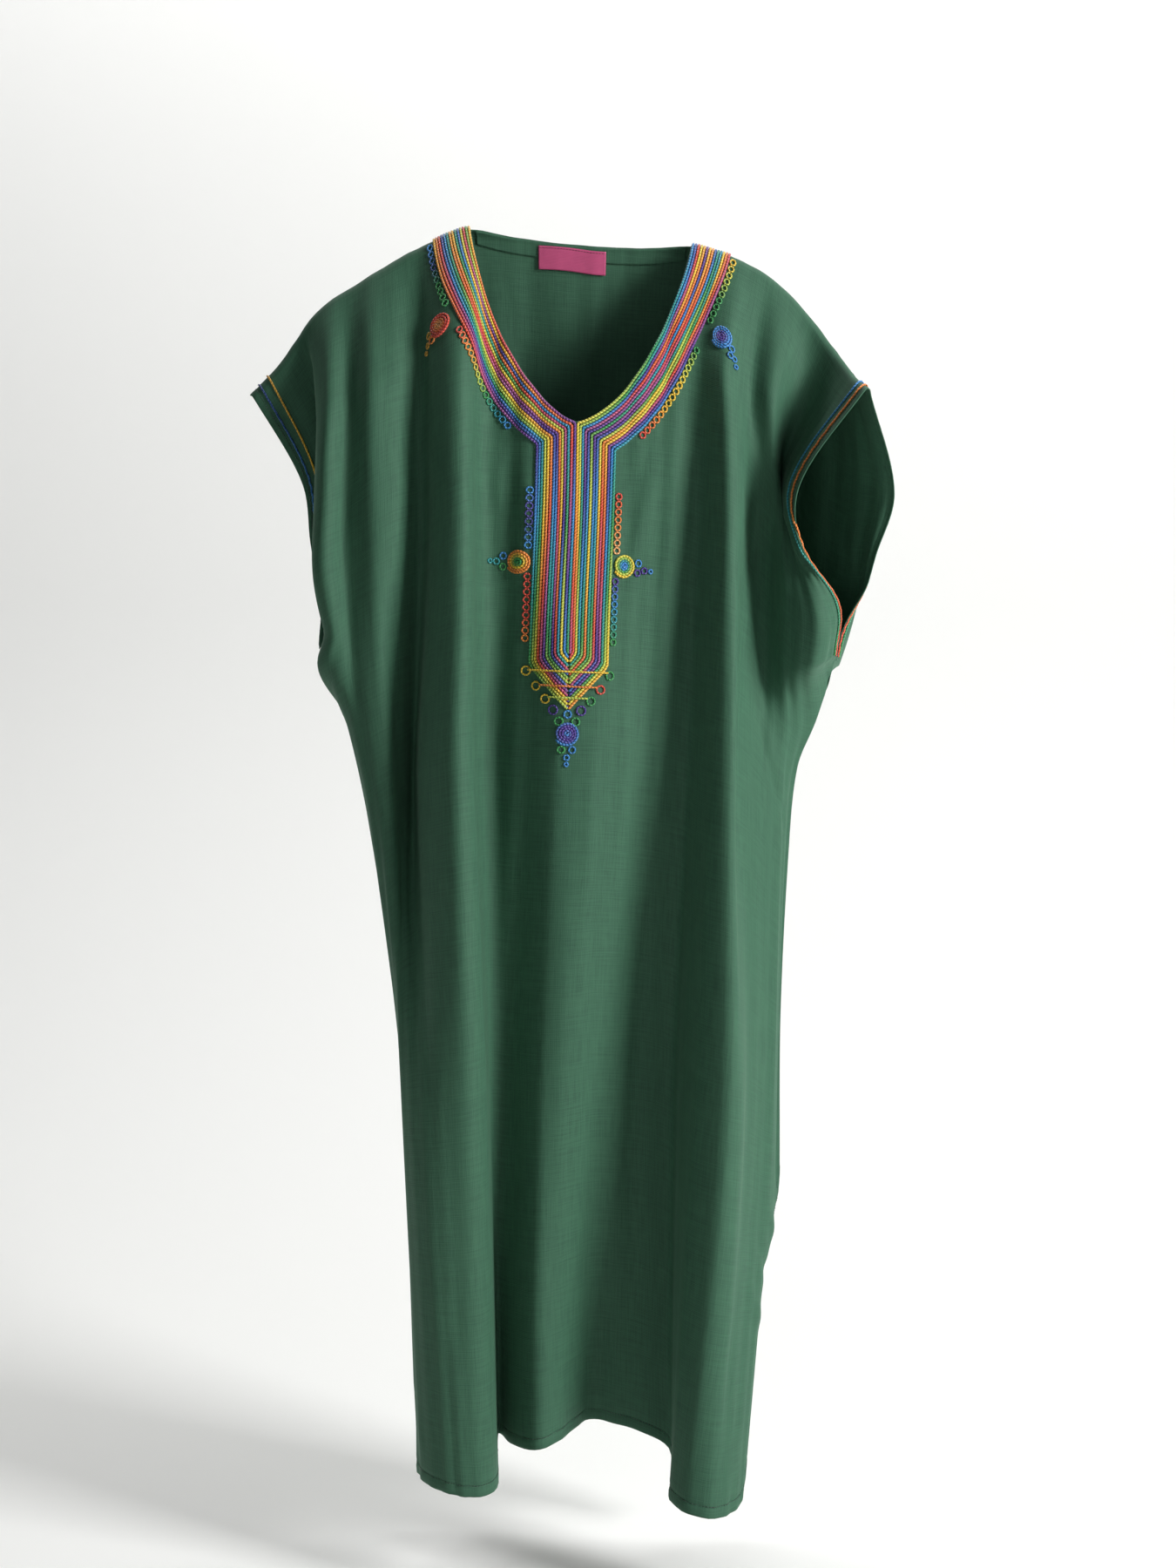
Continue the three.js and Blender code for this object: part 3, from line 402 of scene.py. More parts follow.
    def cut(self, lines, levels):
        """The place in the flat cut of each line and level of the cloth's grid."""
        line, level = np.meshgrid(lines, levels)
        start = self.neck(line)
        down = np.where(level < CUFF_DEPTH, start + level * (1 - start / CUFF_DEPTH), level)
        hem = hem_down(across_at(line, HEM_DOWN))
        skirt = mix(SLIT_TOP, hem, (level - SLIT_TOP) / (HEM_DOWN - SLIT_TOP))
        down = np.where(level > SLIT_TOP, skirt, down)
        return across_at(line, down), down


FRONT = Panel(-1, FRONT_FOLDS, FRONT_HEM, front_neck, FRONT_CREASES, 11)
BACK = Panel(1, BACK_FOLDS, BACK_HEM, back_neck, BACK_CREASES, 23)


# ---- Materials ----
def add_node(tree, kind, inputs=None, links=None, **properties):
    """Adds a node with its settings, input values and links."""
    made = tree.nodes.new(kind)
    for name, value in properties.items():
        setattr(made, name, value)
    for name, value in (inputs or {}).items():
        made.inputs[name].default_value = value
    for name, socket in (links or {}).items():
        tree.links.new(socket, made.inputs[name])
    return made


def new_material(name, roughness, **sockets):
    material = bpy.data.materials.new(name)
    material.use_nodes = True
    shader = material.node_tree.nodes["Principled BSDF"]
    shader.inputs["Roughness"].default_value = roughness
    for socket, value in sockets.items():
        shader.inputs[socket.replace("_", " ")].default_value = value
    return material, material.node_tree, shader


WAVE_TURN = 2 * math.pi / 20     # length of one band of a wave texture at scale 1


def woven_viscose(name, colour, deep):
    """Plain-woven viscose, piece-dyed. The eye gets a matt green with a soft bloom at grazing
    angles, fine even threads and a few thicker ones that run with the warp and the weft. The
    threads are about 0.4 mm apart and are drawn 1.5 mm apart, so that they show."""
    thread = 0.0015
    material, tree, shader = new_material(
        name, 0.74, Sheen_Weight=0.22, Sheen_Roughness=0.45, Sheen_Tint=(*linear("#9CC7AE"), 1),
        Specular_IOR_Level=0.35)
    uv = add_node(tree, "ShaderNodeUVMap", uv_map="cut")
    weave = {"Scale": WAVE_TURN / thread, "Distortion": 0.6, "Detail": 1.0}
    waves = [add_node(tree, "ShaderNodeTexWave", weave, {"Vector": uv.outputs[0]}, bands_direction=way)
             for way in "XY"]
    slubs = []
    for stretch in ((700, 26, 1), (26, 700, 1)):
        turned = add_node(tree, "ShaderNodeMapping", {"Scale": stretch}, {"Vector": uv.outputs[0]})
        slub = {"Scale": 1.0, "Detail": 2.0, "Roughness": 0.6}
        slubs.append(add_node(tree, "ShaderNodeTexNoise", slub, {"Vector": turned.outputs[0]}))
    threads = add_node(tree, "ShaderNodeMath", operation="ADD",
                       links={0: waves[0].outputs["Fac"], 1: waves[1].outputs["Fac"]})
    streaks = add_node(tree, "ShaderNodeMath", operation="ADD",
                       links={0: slubs[0].outputs["Fac"], 1: slubs[1].outputs["Fac"]})
    height = add_node(tree, "ShaderNodeMath", {1: 0.35}, {0: threads.outputs[0], 2: streaks.outputs[0]},
                      operation="MULTIPLY_ADD")
    tone = add_node(tree, "ShaderNodeMath", {1: 0.5}, {0: streaks.outputs[0]}, operation="MULTIPLY")
    ramp = add_node(tree, "ShaderNodeValToRGB", links={"Fac": tone.outputs[0]})
    ramp.color_ramp.elements[0].position = 0.36
    ramp.color_ramp.elements[0].color = (*linear(deep), 1)
    ramp.color_ramp.elements[1].position = 0.58
    ramp.color_ramp.elements[1].color = (*linear(colour), 1)
    tree.links.new(ramp.outputs["Color"], shader.inputs["Base Color"])
    bump = add_node(tree, "ShaderNodeBump", {"Strength": 0.35, "Distance": 0.0004},
                    {"Height": height.outputs[0]})
    tree.links.new(bump.outputs[0], shader.inputs["Normal"])
    return material


def twisted_rayon(name):
    """Rayon cord, dyed in a run of colours and twisted. The eye gets bright silky colours and a
    slanting rope of plies. The plies are drawn 3.4 mm a turn, so that they show."""
    turn = 0.0034
    material, tree, shader = new_material(name, 0.42, Sheen_Weight=0.15, Specular_IOR_Level=0.5)
    uv = add_node(tree, "ShaderNodeUVMap", uv_map="cord")
    parts = add_node(tree, "ShaderNodeSeparateXYZ", links={0: uv.outputs[0]})
    slant = add_node(tree, "ShaderNodeMath", {1: 1 / turn}, {0: parts.outputs[0], 2: parts.outputs[1]},
                     operation="MULTIPLY_ADD")
    angle = add_node(tree, "ShaderNodeMath", {1: 2 * math.pi}, {0: slant.outputs[0]}, operation="MULTIPLY")
    ply = add_node(tree, "ShaderNodeMath", links={0: angle.outputs[0]}, operation="SINE")
    # Painted shading: the dye is darkened to 62 % of itself in the grooves between the plies.
    painted_ply_shade = add_node(tree, "ShaderNodeMapRange", {"From Min": -1.0, "To Min": 0.62, "To Max": 1.0},
                     {"Value": ply.outputs[0]})
    dye = add_node(tree, "ShaderNodeAttribute", attribute_name="dye")
    colour = add_node(tree, "ShaderNodeVectorMath", links={0: dye.outputs["Color"], 1: painted_ply_shade.outputs[0]},
                      operation="MULTIPLY")
    tree.links.new(colour.outputs[0], shader.inputs["Base Color"])
    bump = add_node(tree, "ShaderNodeBump", {"Strength": 0.6, "Distance": 0.0005},
                    {"Height": ply.outputs[0]})
    tree.links.new(bump.outputs[0], shader.inputs["Normal"])
    return material


def woven_satin(name, colour, deep):
    """A woven satin label, bare. The eye gets a smooth pink with fine ribs across it."""
    rib = 0.0012
    material, tree, shader = new_material(name, 0.38, Sheen_Weight=0.2)
    uv = add_node(tree, "ShaderNodeUVMap", uv_map="cut")
    ribs = add_node(tree, "ShaderNodeTexWave", {"Scale": WAVE_TURN / rib, "Distortion": 0.4},
                    {"Vector": uv.outputs[0]}, bands_direction="Y")
    cloud = add_node(tree, "ShaderNodeTexNoise", {"Scale": 60.0, "Detail": 3.0},
                     {"Vector": uv.outputs[0]})
    ramp = add_node(tree, "ShaderNodeValToRGB", links={"Fac": cloud.outputs["Fac"]})
    ramp.color_ramp.elements[0].color = (*linear(deep), 1)
    ramp.color_ramp.elements[1].color = (*linear(colour), 1)
    tree.links.new(ramp.outputs["Color"], shader.inputs["Base Color"])
    bump = add_node(tree, "ShaderNodeBump", {"Strength": 0.3, "Distance": 0.0003},
                    {"Height": ribs.outputs["Fac"]})
    tree.links.new(bump.outputs[0], shader.inputs["Normal"])
    return material


VISCOSE = woven_viscose("green_viscose", "#37614A", "#2D5340")
RAYON = twisted_rayon("rayon_cord")
SATIN = woven_satin("pink_satin", "#C9507F", "#A93C6A")


# ---- Meshes ----
def bent_grid(places, uvs, layer, colours=None):
    """A grid whose corner in row i and column j lies at places[i, j] (mm)."""
    along, around = places.shape[0] - 1, places.shape[1] - 1
    bm = bmesh.new()
    bm.loops.layers.uv.new(layer)
    bmesh.ops.create_grid(bm, x_segments=along, y_segments=around, size=1.0)
    mesh = bpy.data.meshes.new("grid")
    bm.to_mesh(mesh)
    bm.free()
    flat = np.empty(len(mesh.vertices) * 3)
    mesh.vertices.foreach_get("co", flat)
    flat = flat.reshape(-1, 3)
    i = np.rint((flat[:, 0] + 1) / 2 * along).astype(int)
    j = np.rint((flat[:, 1] + 1) / 2 * around).astype(int)
    mesh.vertices.foreach_set("co", (places[i, j] * MM).ravel())
    corners = np.empty(len(mesh.loops), int)
    mesh.loops.foreach_get("vertex_index", corners)
    mesh.uv_layers[layer].data.foreach_set("uv", uvs[i, j][corners].ravel())
    if colours is not None:
        dye = mesh.color_attributes.new("dye", "FLOAT_COLOR", "POINT")
        full = np.concatenate([colours[i], np.ones((len(i), 1))], 1)
        dye.data.foreach_set("color", full.ravel())
    return mesh


def make_piece(name, mesh, material, nodes):
    """Puts a finished mesh in the scene as a piece of the kaftan."""
    mesh.name = name
    mesh.materials.clear()
    mesh.materials.append(material)
    mesh.polygons.foreach_set("use_smooth", [True] * len(mesh.polygons))
    made = bpy.data.objects.new(name, mesh)
    bpy.context.scene.collection.objects.link(made)
    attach(made, "root")
    if nodes:
        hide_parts(*nodes)
    return made


def joined(name, meshes, material, nodes):
    """Joins closed cords into one piece, with their seams and ends welded."""
    bm = bmesh.new()
    for mesh in meshes:
        bm.from_mesh(mesh)
        bpy.data.meshes.remove(mesh)
    bmesh.ops.remove_doubles(bm, verts=bm.verts, dist=1e-6)
    bmesh.ops.recalc_face_normals(bm, faces=bm.faces)
    whole = bpy.data.meshes.new(name)
    bm.to_mesh(whole)
    bm.free()
    return make_piece(name, whole, material, nodes)


def cloth_sheet(name, panel, across, down, nodes, material=VISCOSE, slot="cloth", face=1, lift=0.0,
                wall=CLOTH):
    """A sheet of cloth on a panel, with its wall and its turned edges standing a little proud."""
    place, normal = panel.surface(across.ravel(), down.ravel())
    place = (place + normal * lift * face).reshape(*across.shape, 3)
    uvs = np.stack([across, -down], 2) * MM
    mesh = bent_grid(place, uvs, "cut")
    bm = bmesh.new()
    bm.from_mesh(mesh)
    bm.normal_update()
    outward = sum(f.normal.y * f.calc_area() for f in bm.faces) * panel.side * face
    if outward < 0:
        bmesh.ops.reverse_faces(bm, faces=bm.faces)
    bm.to_mesh(mesh)
    bm.free()
    made = make_piece(name, mesh, material, nodes)
    solid = made.modifiers.new("wall", "SOLIDIFY")
    solid.thickness = wall * MM
    solid.offset = 0
    solid.use_even_offset = False
    return made


def cord_mesh(place, normal, radius, colours, closed=False, sides=8):
    """A round cord along a path of places (mm), rolled shut at its ends unless it is closed."""
    radii = np.full(len(place), float(radius))
    if closed:
        tangent = np.roll(place, -1, 0) - np.roll(place, 1, 0)
        tangent[0] = tangent[-1] = place[1] - place[-2]
    else:
        tangent = np.gradient(place, axis=0)
    tangent /= np.linalg.norm(tangent, axis=1, keepdims=True)
    if not closed:
        first, last = place[0], place[-1]
        ends = ((0.75, 0.0), (0.5, 0.7))
        before = [first - tangent[0] * radius * back for back, _ in ends]
        after = [last + tangent[-1] * radius * back for back, _ in ends[::-1]]
        place = np.concatenate([before, place, after])
        shut = [radius * share for _, share in ends]
        radii = np.concatenate([shut, radii, shut[::-1]])
        tangent = np.concatenate([tangent[:1], tangent[:1], tangent, tangent[-1:], tangent[-1:]])
        normal = np.concatenate([normal[:1], normal[:1], normal, normal[-1:], normal[-1:]])
        colours = np.concatenate([colours[:1], colours[:1], colours, colours[-1:], colours[-1:]])
    beside = np.cross(tangent, normal)
    beside /= np.linalg.norm(beside, axis=1, keepdims=True)
    upright = np.cross(beside, tangent)
    angles = np.linspace(0, 2 * math.pi, sides + 1)[None, :, None]
    around_path = np.cos(angles) * beside[:, None] + np.sin(angles) * upright[:, None]
    rings = place[:, None] + radii[:, None, None] * around_path
    rings[:, -1] = rings[:, 0]
    if closed:
        rings[-1] = rings[0]
    run = np.concatenate([[0], np.cumsum(np.linalg.norm(np.diff(place, axis=0), axis=1))]) * MM
    around = np.linspace(0, 1, sides + 1)
    uvs = np.stack(np.broadcast_arrays(run[:, None], around[None, :]), 2)
    return bent_grid(rings, uvs, "cord", colours)


def laid_cord(panel, cut, radius, colours, closed=False, sides=8, lift=None, face=1):
    """A cord laid on a panel along rows of across and down."""
    place, normal = panel.surface(cut[:, 0], cut[:, 1])
    normal = normal * face
    height = CLOTH / 2 + radius * 0.85 if lift is None else lift
    raised = place + normal * np.reshape(height, (-1, 1))
    return cord_mesh(raised, normal, radius, colours, closed, sides)


def resampled(cut, spacing):
    """The same route with even steps of about the given spacing."""
    run = np.concatenate([[0], np.cumsum(np.linalg.norm(np.diff(cut, axis=0), axis=1))])
    steps = np.linspace(0, run[-1], max(2, round(run[-1] / spacing)) + 1)
    return np.stack([np.interp(steps, run, cut[:, c]) for c in range(2)], 1), steps


def stitched(panel, cut, face=1, colour="#1D3B2C"):
    """A line of stitches: one thread that dips in and out of the cloth."""
    route, run = resampled(cut, STITCH / 6)
    height = CLOTH / 2 + 0.35 * np.sin(2 * math.pi * run / STITCH) + 0.05
    colours = np.repeat([linear(colour)], len(route), 0)
    return laid_cord(panel, route, THREAD_R, colours, sides=4, lift=height, face=face)


# ---- The two panels of cloth ----
def cloth_lines():
    """The lines of the cloth, close together where the folds are, and at the sides."""
    marks = [row[0] for row in FRONT_FOLDS]
    lines = [marks[0]]
    for low, high in zip(marks, marks[1:]):
        pieces = max(3, round((high - low) / 5.6))
        lines += [mix(low, high, k / pieces) for k in range(1, pieces + 1)]
    edge = [2.5, 5, 8, 11, 13.5, 17]
    lines = [v for v in lines if CUFF_HALF - abs(v) > edge[-1] + 2 or abs(v) == CUFF_HALF]
    lines += [sign * (CUFF_HALF - inset) for inset in edge for sign in (-1, 1)]
    return np.array(sorted(lines), float)


def cloth_levels():
    rolled = [0, 1.5, 3, 4.5, 6.5, 9, 12, 15]
    low_edge = [HEM_DOWN - inset for inset in (20, 17, 14, 12.5, 11, 9.5, 8, 5.5, 3, 0)]
    middle = np.linspace(rolled[-1], low_edge[0], 268)[1:-1]
    return np.array([*rolled, *middle, *low_edge], float)


def hem_route(panel):
    """The stitch line from the top of one slit, round the hem, to the top of the other."""
    reach = HEM_HALF - CORNER
    inner = CORNER - TURNED
    slit = np.linspace(SLIT_TOP, HEM_DOWN - CORNER, 60)
    side = np.stack([half_width(slit) - TURNED, slit], 1)
    angles = np.linspace(0, math.pi / 2, 24)[1:]
    corner = np.stack([reach + inner * np.cos(angles), HEM_DOWN - CORNER + inner * np.sin(angles)], 1)
    right = np.concatenate([side, corner])
    left = right[::-1] * (-1, 1)
    return np.concatenate([right, left])


def cuff_route(hand, inset):
    down = np.linspace(2, CUFF_DEPTH - 3, 160)
    return np.stack([np.full(len(down), hand * (CUFF_HALF - inset)), down], 1)


LINES = cloth_lines()
CLOTH_LEVELS = cloth_levels()
front_cloth = cloth_sheet("front_cloth", FRONT, *FRONT.cut(LINES, CLOTH_LEVELS), ["front_panel"])
back_cloth = cloth_sheet("back_cloth", BACK, *BACK.cut(LINES, CLOTH_LEVELS), ["back_panel"])


def stitching(name, panel, extra=()):
    rows = [stitched(panel, hem_route(panel))]
    rows += [stitched(panel, cuff_route(hand, TURNED - 3)) for hand in (-1, 1)]
    rows += [stitched(panel, row, face=face) for row, face in extra]
    return joined(name, rows, RAYON, [])


neck_line = np.linspace(-(NECK_HALF - 6), NECK_HALF - 6, 80)
facing_edge = np.stack([neck_line, back_neck(neck_line) + 14], 1)
front_stitches = stitching("front_stitches", FRONT)
back_stitches = stitching("back_stitches", BACK, [(facing_edge, 1)])


# ---- The neckline and the lines beside it ----
def beside_neck(share, distance):
    across = NECK_HALF * share
    down = front_neck(across)
    slope_a = NECK_ROUND * share ** (NECK_ROUND - 1) / NECK_HALF
    slope_d = NECK_SHARP * (down / NECK_DEPTH) ** (NECK_SHARP - 1) / NECK_DEPTH
    length = np.hypot(slope_a, slope_d)
    return np.stack([across + distance * slope_a / length, down + distance * slope_d / length], 1)


def neck_route(hand, distance, top, stop_across=None, bottom=None):
    """The line a distance out from the neckline, from a height to the placket or to a height."""
    line = beside_neck(np.linspace(1, 0, 1600), distance)
    keep = line[:, 1] >= top
    if stop_across is not None:
        keep &= line[:, 0] >= stop_across
    if bottom is not None:
        keep &= line[:, 1] <= bottom
    return line[keep] * (hand, 1)


def band_cord_route(hand, number):
    """One cord: round the V, then down the placket, then slanting in to the point."""
    distance = mix(1.6, BAND_WIDTH - 1.2, number / (CORDS - 1))
    half = mix(1.55, PLACKET_HALF - 1.45, number / (CORDS - 1))
    neck = neck_route(hand, distance, 1.0, stop_across=half)
    lean = math.hypot(1, POINT_SLOPE)
    tip = PLACKET_POINT - (PLACKET_HALF - half) * lean
    bend = tip - half * POINT_SLOPE
    placket = np.array([
        (half, neck[-1, 1] + 3), (half, bend - 2), (half * 0.9, bend + half * 0.1 * POINT_SLOPE), (1.2, tip),
    ]) * (hand, 1)
    route = np.concatenate([neck, placket])
    return resampled(route, 3.2)


# Where in the run of dyes each cord starts at the shoulder, from the neck edge outwards.
BAND_STARTS = {
    -1: (0.02, 0.80, 0.22, 0.90, 0.50, 0.70, 0.02, 0.05, 0.68, 0.56, 0.46, 0.20, 0.10, 0.02),
    1: (0.56, 0.47, 0.20, 0.95, 0.05, 0.40, 0.02, 0.08, 0.50, 0.70, 0.62, 0.98, 0.12, 0.24),
}
DYE_RUN = 640            # length of cord in which its dyes come round again


def corded_band(name, hand, nodes):
    meshes = []
    for number, start in enumerate(BAND_STARTS[hand]):
        route, run = band_cord_route(hand, number)
        share = (run / DYE_RUN + start) % 1.0
        colours = blended((*RAINBOW, RAINBOW[0]), share)
        meshes.append(laid_cord(FRONT, route, CORD_R, colours))
    return joined(name, meshes, RAYON, nodes)


band_left = corded_band("corded_band_left", -1, ["neck_band_left"])
band_right = corded_band("corded_band_right", 1, ["neck_band_right", "placket"])


# ---- Rings, chains of rings and spiral medallions ----
def ring(centre, radius, colour, cord=FINE_CORD_R):
    angles = np.linspace(0, 2 * math.pi, 15)
    cut = np.stack([centre[0] + radius * np.cos(angles), centre[1] + radius * np.sin(angles)], 1)
    return laid_cord(FRONT, cut, cord, np.repeat([colour], len(cut), 0), closed=True, sides=6)


def ring_chain(name, route, dyes):
    points, run = resampled(route, RING_PITCH)
    colours = blended(dyes, run / run[-1])
    rings = [ring(point, RING_R, colour) for point, colour in zip(points, colours)]
    return joined(name + "_rings", rings, RAYON, [name])


def placket_route(hand, top, bottom):
    across = hand * (PLACKET_HALF + 4.6)
    return np.array([(across, top), (across, bottom)], float)


CHAIN_OUT = BAND_WIDTH + 4.8
CHAINS = {
    "chain_neck_left_upper": (
        neck_route(-1, CHAIN_OUT, 14, bottom=86), ("blue", "navy", "green", "green")),
    "chain_neck_left_lower": (
        neck_route(-1, CHAIN_OUT, 122, bottom=220),
        ("red", "orange", "gold", "lime", "green", "teal", "blue")),
    "chain_neck_right_upper": (
        neck_route(1, CHAIN_OUT, 14, bottom=86), ("yellow", "lime", "green", "green")),
    "chain_neck_right_lower": (
        neck_route(1, CHAIN_OUT, 122, bottom=220),
        ("green", "lime", "yellow", "yellow", "orange", "red")),
    "chain_placket_left_upper": (placket_route(-1, 285, 341), ("blue", "purple", "navy", "blue")),
    "chain_placket_left_lower": (placket_route(-1, 373, 436), ("red", "red", "red", "orange")),
    "chain_placket_right_upper": (placket_route(1, 285, 341), ("red", "orange", "peach")),
    "chain_placket_right_lower": (placket_route(1, 373, 436), ("purple", "blue", "teal", "green")),
}
chains = [ring_chain(name, route, dyes) for name, (route, dyes) in CHAINS.items()]


def spiral(centre, dyes, turns=4.4):
    """A cord coiled flat from its middle outwards."""
    angles = np.linspace(0, 2 * math.pi * turns, round(turns * 22))
    radius = mix(0.9, MEDALLION_R - 1.2, angles / angles[-1])
    cut = np.stack([centre[0] + radius * np.cos(angles), centre[1] + radius * np.sin(angles)], 1)
    return laid_cord(FRONT, cut, 1.35, blended(dyes, angles / angles[-1]), sides=8)


# Each medallion: its place, its dyes from the middle out, then its trailing rings as an offset
# across and down, a radius and a dye.
MEDALLIONS = {
    "medallion_neck_left": (-157, 106, ("peach", "orange", "red", "red"), (
        (-14.4, 4.5, 3.2, "gold"), (-9.9, 12, 3.2, "orange"),
        (-17.2, 13.5, 2.8, "gold"), (-20.7, 20, 2.0, "gold"))),
    "medallion_neck_right": (165, 100, ("purple", "purple", "blue", "blue"), (
        (13.5, 8, 3.2, "blue"), (12.6, 15.5, 3.0, "blue"),
        (18, 16.5, 2.6, "blue"), (20.6, 23.4, 2.0, "blue"))),
    "medallion_placket_left": (-56, 358, ("green", "green", "yellow", "orange", "orange"), (
        (-15.5, -5, 3.2, "blue"), (-22.5, 1, 3.0, "teal"),
        (-15.5, 6, 3.2, "green"), (-29, 1, 2.0, "teal"))),
    "medallion_placket_right": (56, 356, ("blue", "blue", "green", "lime", "yellow"), (
        (16.5, -4, 3.4, "blue"), (16, 6, 3.2, "purple"),
        (24, 3, 3.0, "purple"), (31, 3, 2.0, "blue"))),
    "medallion_pendant": (0, 532, ("blue", "purple", "purple", "blue"), (
        (-5.5, 16.5, 3.4, "green"), (5.5, 16.5, 3.4, "blue"),
        (0, 24.5, 2.6, "blue"), (0, 31.5, 1.9, "blue"))),
}
for name, (across, down, dyes, trail) in MEDALLIONS.items():
    meshes = [spiral((across, down), dyes)]
    meshes += [ring((across + a, down + d), r, linear(DYES[dye])) for a, d, r, dye in trail]
    joined(name + "_cords", meshes, RAYON, [name])

# The rings and the three cords that hang the pendant from the placket's point.
PENDANT_RINGS = (
    (1, 466, 4.2, "yellow"), (-44, 469, 4.4, "yellow"), (44, 471, 4.2, "green"), (1, 479, 3.8, "orange"),
    (-33, 484, 4.2, "yellow"), (34, 486, 4.2, "red"), (1, 491, 3.6, "green"), (-23, 497, 4.2, "yellow"),
    (24, 498, 4.2, "green"), (1, 501.5, 3.2, "purple"), (-14.5, 508, 4.6, "purple"),
    (14, 508, 4.6, "purple"),
    (0, 512, 3.6, "blue"), (-8.5, 519.5, 4.0, "green"), (8.5, 519.5, 4.0, "green"),
)
PENDANT_BARS = (
    (-41, 468, 41, 468.5, "yellow"), (-28, 483, 30, 484, "orange"), (-19, 495, 20, 495.5, "lime"),
)
PENDANT_LIFT = 3.4
meshes = [ring((a, d), r, linear(DYES[dye])) for a, d, r, dye in PENDANT_RINGS]
for left, high, right, low, dye in PENDANT_BARS:
    bar, _ = resampled(np.array([(left, high), (right, low)], float), 3.0)
    meshes.append(laid_cord(FRONT, bar, FINE_CORD_R, np.repeat([linear(DYES[dye])], len(bar), 0),
                            sides=6, lift=PENDANT_LIFT + CLOTH / 2))
pendant_rings = joined("pendant_rings", meshes, RAYON, [])


# ---- The two cords round each cuff ----
CUFF_DYES = {
    -1: (("navy", "blue", "purple"), ("gold", "yellow", "gold")),
    1: (("orange", "orange", "red"), ("blue", "teal", "green")),
}
cuff_cords = []
for where, panel in (("front", FRONT), ("back", BACK)):
    for side, hand in (("left", -1), ("right", 1)):
        for number, inset in enumerate(CUFF_CORD_INSETS):
            route, run = resampled(cuff_route(hand, inset), 3.4)
            colours = blended(CUFF_DYES[hand][number], run / run[-1])
            mesh = laid_cord(panel, route, CUFF_CORD_R, colours, sides=6)
            name = f"cuff_cord_{side}_{where}_{number + 1}"
            cuff_cords.append(joined(name + "_laid", [mesh], RAYON, [name]))


# ---- The turned strip inside the back neck, and the label on it ----
facing_end = NECK_HALF - 5
facing_across, facing_share = np.meshgrid(np.linspace(-facing_end, facing_end, 110), np.linspace(0, 1, 9))
facing_down = back_neck(facing_across) + 0.5 + FACING_WIDTH * facing_share
facing = cloth_sheet("back_neck_strip", BACK, facing_across, facing_down, ["back_neck_facing"], face=-1,
                     lift=FACING_LIFT, wall=0.7)


def label_sway(across):
    return LABEL_WAVE * np.sin(across / 13)


label_across, label_down = np.meshgrid(
    np.linspace(LABEL_LEFT, LABEL_RIGHT, 50), np.linspace(LABEL_TOP, LABEL_FOOT, 18))
label = cloth_sheet("bare_label", BACK, label_across, label_down + label_sway(label_across), ["neck_label"],
                    SATIN, "label", -1, LABEL_LIFT, 0.6)
row_across = np.linspace(LABEL_LEFT + 1, LABEL_RIGHT - 1, 40)
route, run = resampled(np.stack([row_across, LABEL_TOP + 2 + label_sway(row_across)], 1), STITCH / 6)
label_place, label_normal = BACK.surface(route[:, 0], route[:, 1])
height = LABEL_LIFT + 0.35 + 0.3 * np.sin(2 * math.pi * run / STITCH)
raised = label_place - label_normal * height[:, None]
pink = np.repeat([linear("#8E2B55")], len(route), 0)
label_thread = cord_mesh(raised, -label_normal, THREAD_R, pink, sides=4)
label_stitches = joined("label_stitches", [label_thread], RAYON, [])


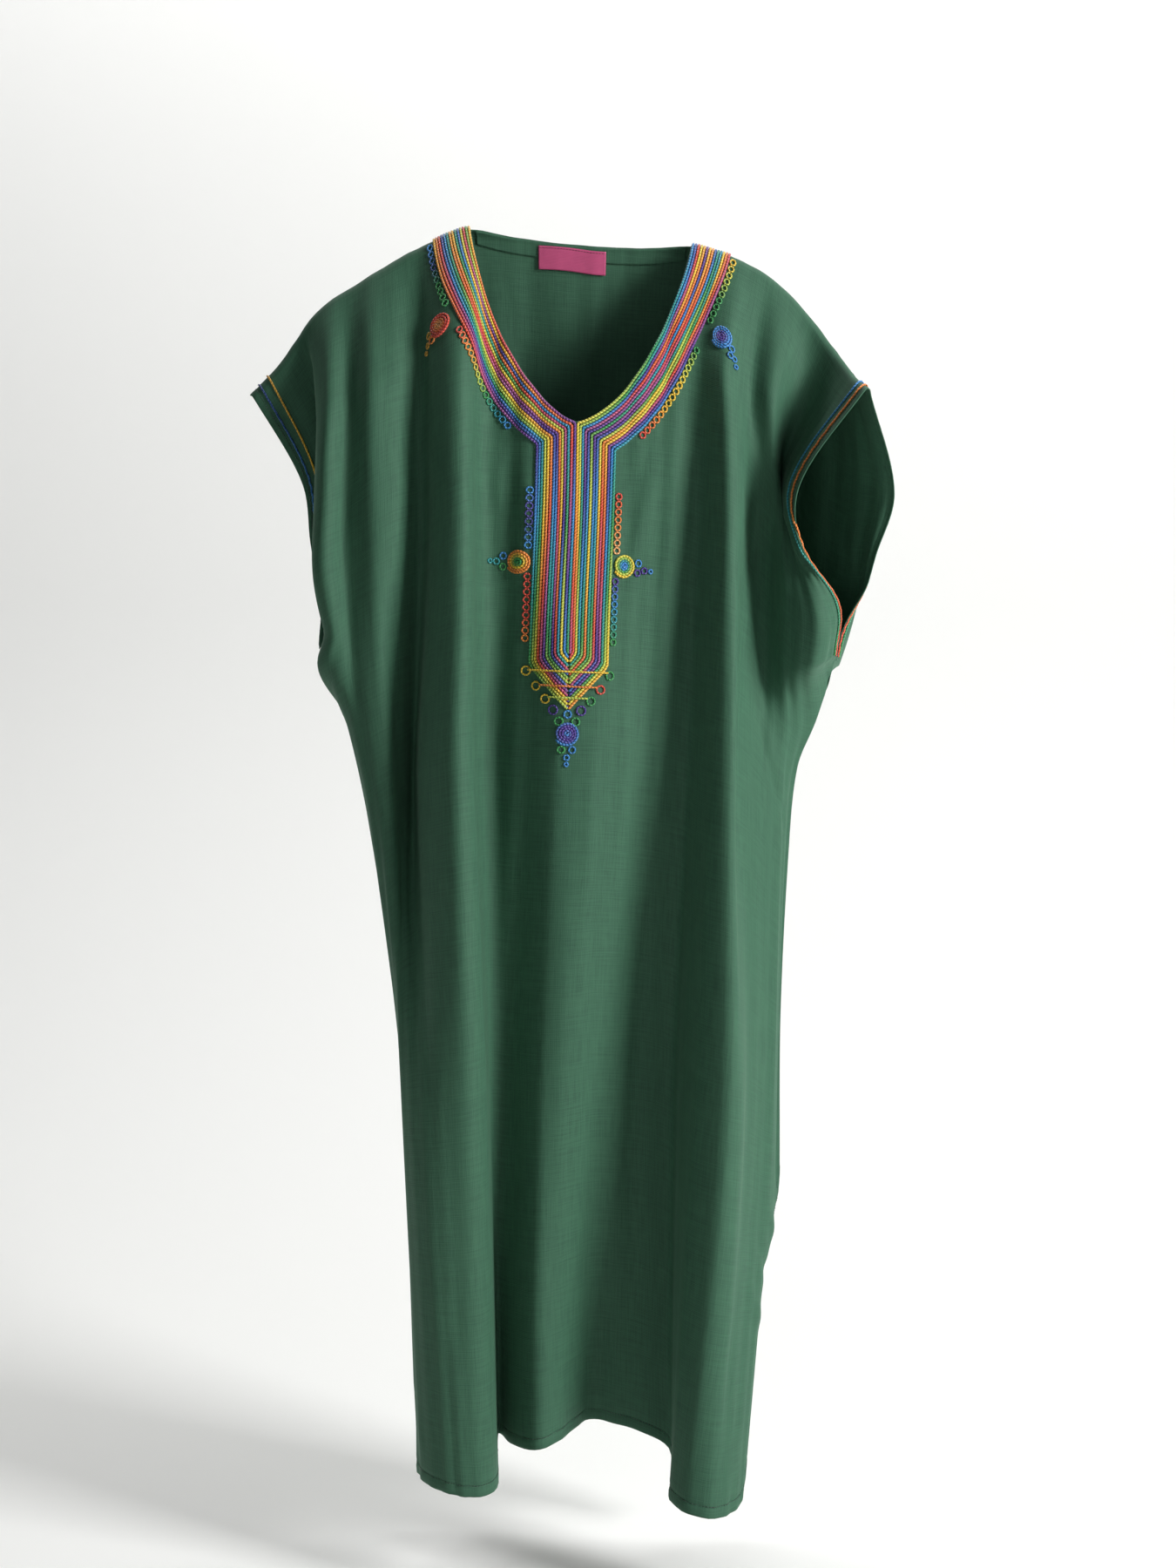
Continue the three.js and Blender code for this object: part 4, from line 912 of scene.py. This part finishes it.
# ---- Stage, light and camera ----
def backdrop():
    """A pale floor that curves up into a wall."""
    floor, back, bend, wide, tall = -1.40, 2.2, 1.2, 8.0, 4.0
    steps = np.linspace(0, math.pi / 2, 16)
    curve = [(back - bend + bend * math.sin(a), floor + bend * (1 - math.cos(a))) for a in steps]
    profile = [(-6.0, floor), *curve, (back, floor + tall)]
    bm = bmesh.new()
    verts = [bm.verts.new((-wide, y, z)) for y, z in profile]
    edges = [bm.edges.new(pair) for pair in zip(verts, verts[1:])]
    swept = bmesh.ops.extrude_edge_only(bm, edges=edges)["geom"]
    moved = [part for part in swept if isinstance(part, bmesh.types.BMVert)]
    bmesh.ops.translate(bm, verts=moved, vec=(2 * wide, 0, 0))
    mesh = bpy.data.meshes.new("backdrop")
    bm.to_mesh(mesh)
    bm.free()
    mesh.polygons.foreach_set("use_smooth", [True] * len(mesh.polygons))
    material, _, shader = new_material("pale_paper", 0.9)
    shader.inputs["Base Color"].default_value = (*linear("#F3F3F1"), 1)
    mesh.materials.append(material)
    made = bpy.data.objects.new("backdrop", mesh)
    bpy.context.scene.collection.objects.link(made)


def softbox(name, place, aim, size, power):
    lamp = bpy.data.lights.new(name, "AREA")
    lamp.shape = "RECTANGLE"
    lamp.size, lamp.size_y = size
    lamp.energy = power
    made = bpy.data.objects.new(name, lamp)
    made.location = place
    away = np.array(place) - np.array(aim)
    flat = math.hypot(away[0], away[1])
    made.rotation_euler = (math.atan2(flat, away[2]), 0, math.atan2(away[0], -away[1]))
    bpy.context.scene.collection.objects.link(made)


backdrop()
softbox("window_light", (2.5, -1.75, 0.55), (0, 0, -0.6), (0.9, 1.6), 128)
softbox("front_fill", (-0.8, -2.8, 0.3), (0, 0, -0.6), (1.1, 1.6), 6)
softbox("backdrop_light", (0, 1.1, 3.0), (0, 2.3, -0.2), (5.0, 0.8), 105)
world = bpy.data.worlds.new("soft_sky")
world.use_nodes = True
world.node_tree.nodes["Background"].inputs["Color"].default_value = (0.80, 0.93, 1.0, 1)
world.node_tree.nodes["Background"].inputs["Strength"].default_value = 0.02
bpy.context.scene.world = world
bpy.context.scene.view_settings.view_transform = "Standard"

# The camera stands level, 2.2 m in front, at the middle of the garment's height.
DISTANCE = 2.2
FRAMED_HEIGHT = 1.656
camera_data = bpy.data.cameras.new("camera")
camera_data.sensor_fit = "VERTICAL"
camera_data.angle = 2 * math.atan(FRAMED_HEIGHT / 2 / DISTANCE)
camera = bpy.data.objects.new("camera", camera_data)
camera.location = (0.0074, -DISTANCE, -0.577)
camera.rotation_euler = (math.pi / 2, 0, 0)
bpy.context.scene.collection.objects.link(camera)
bpy.context.scene.camera = camera
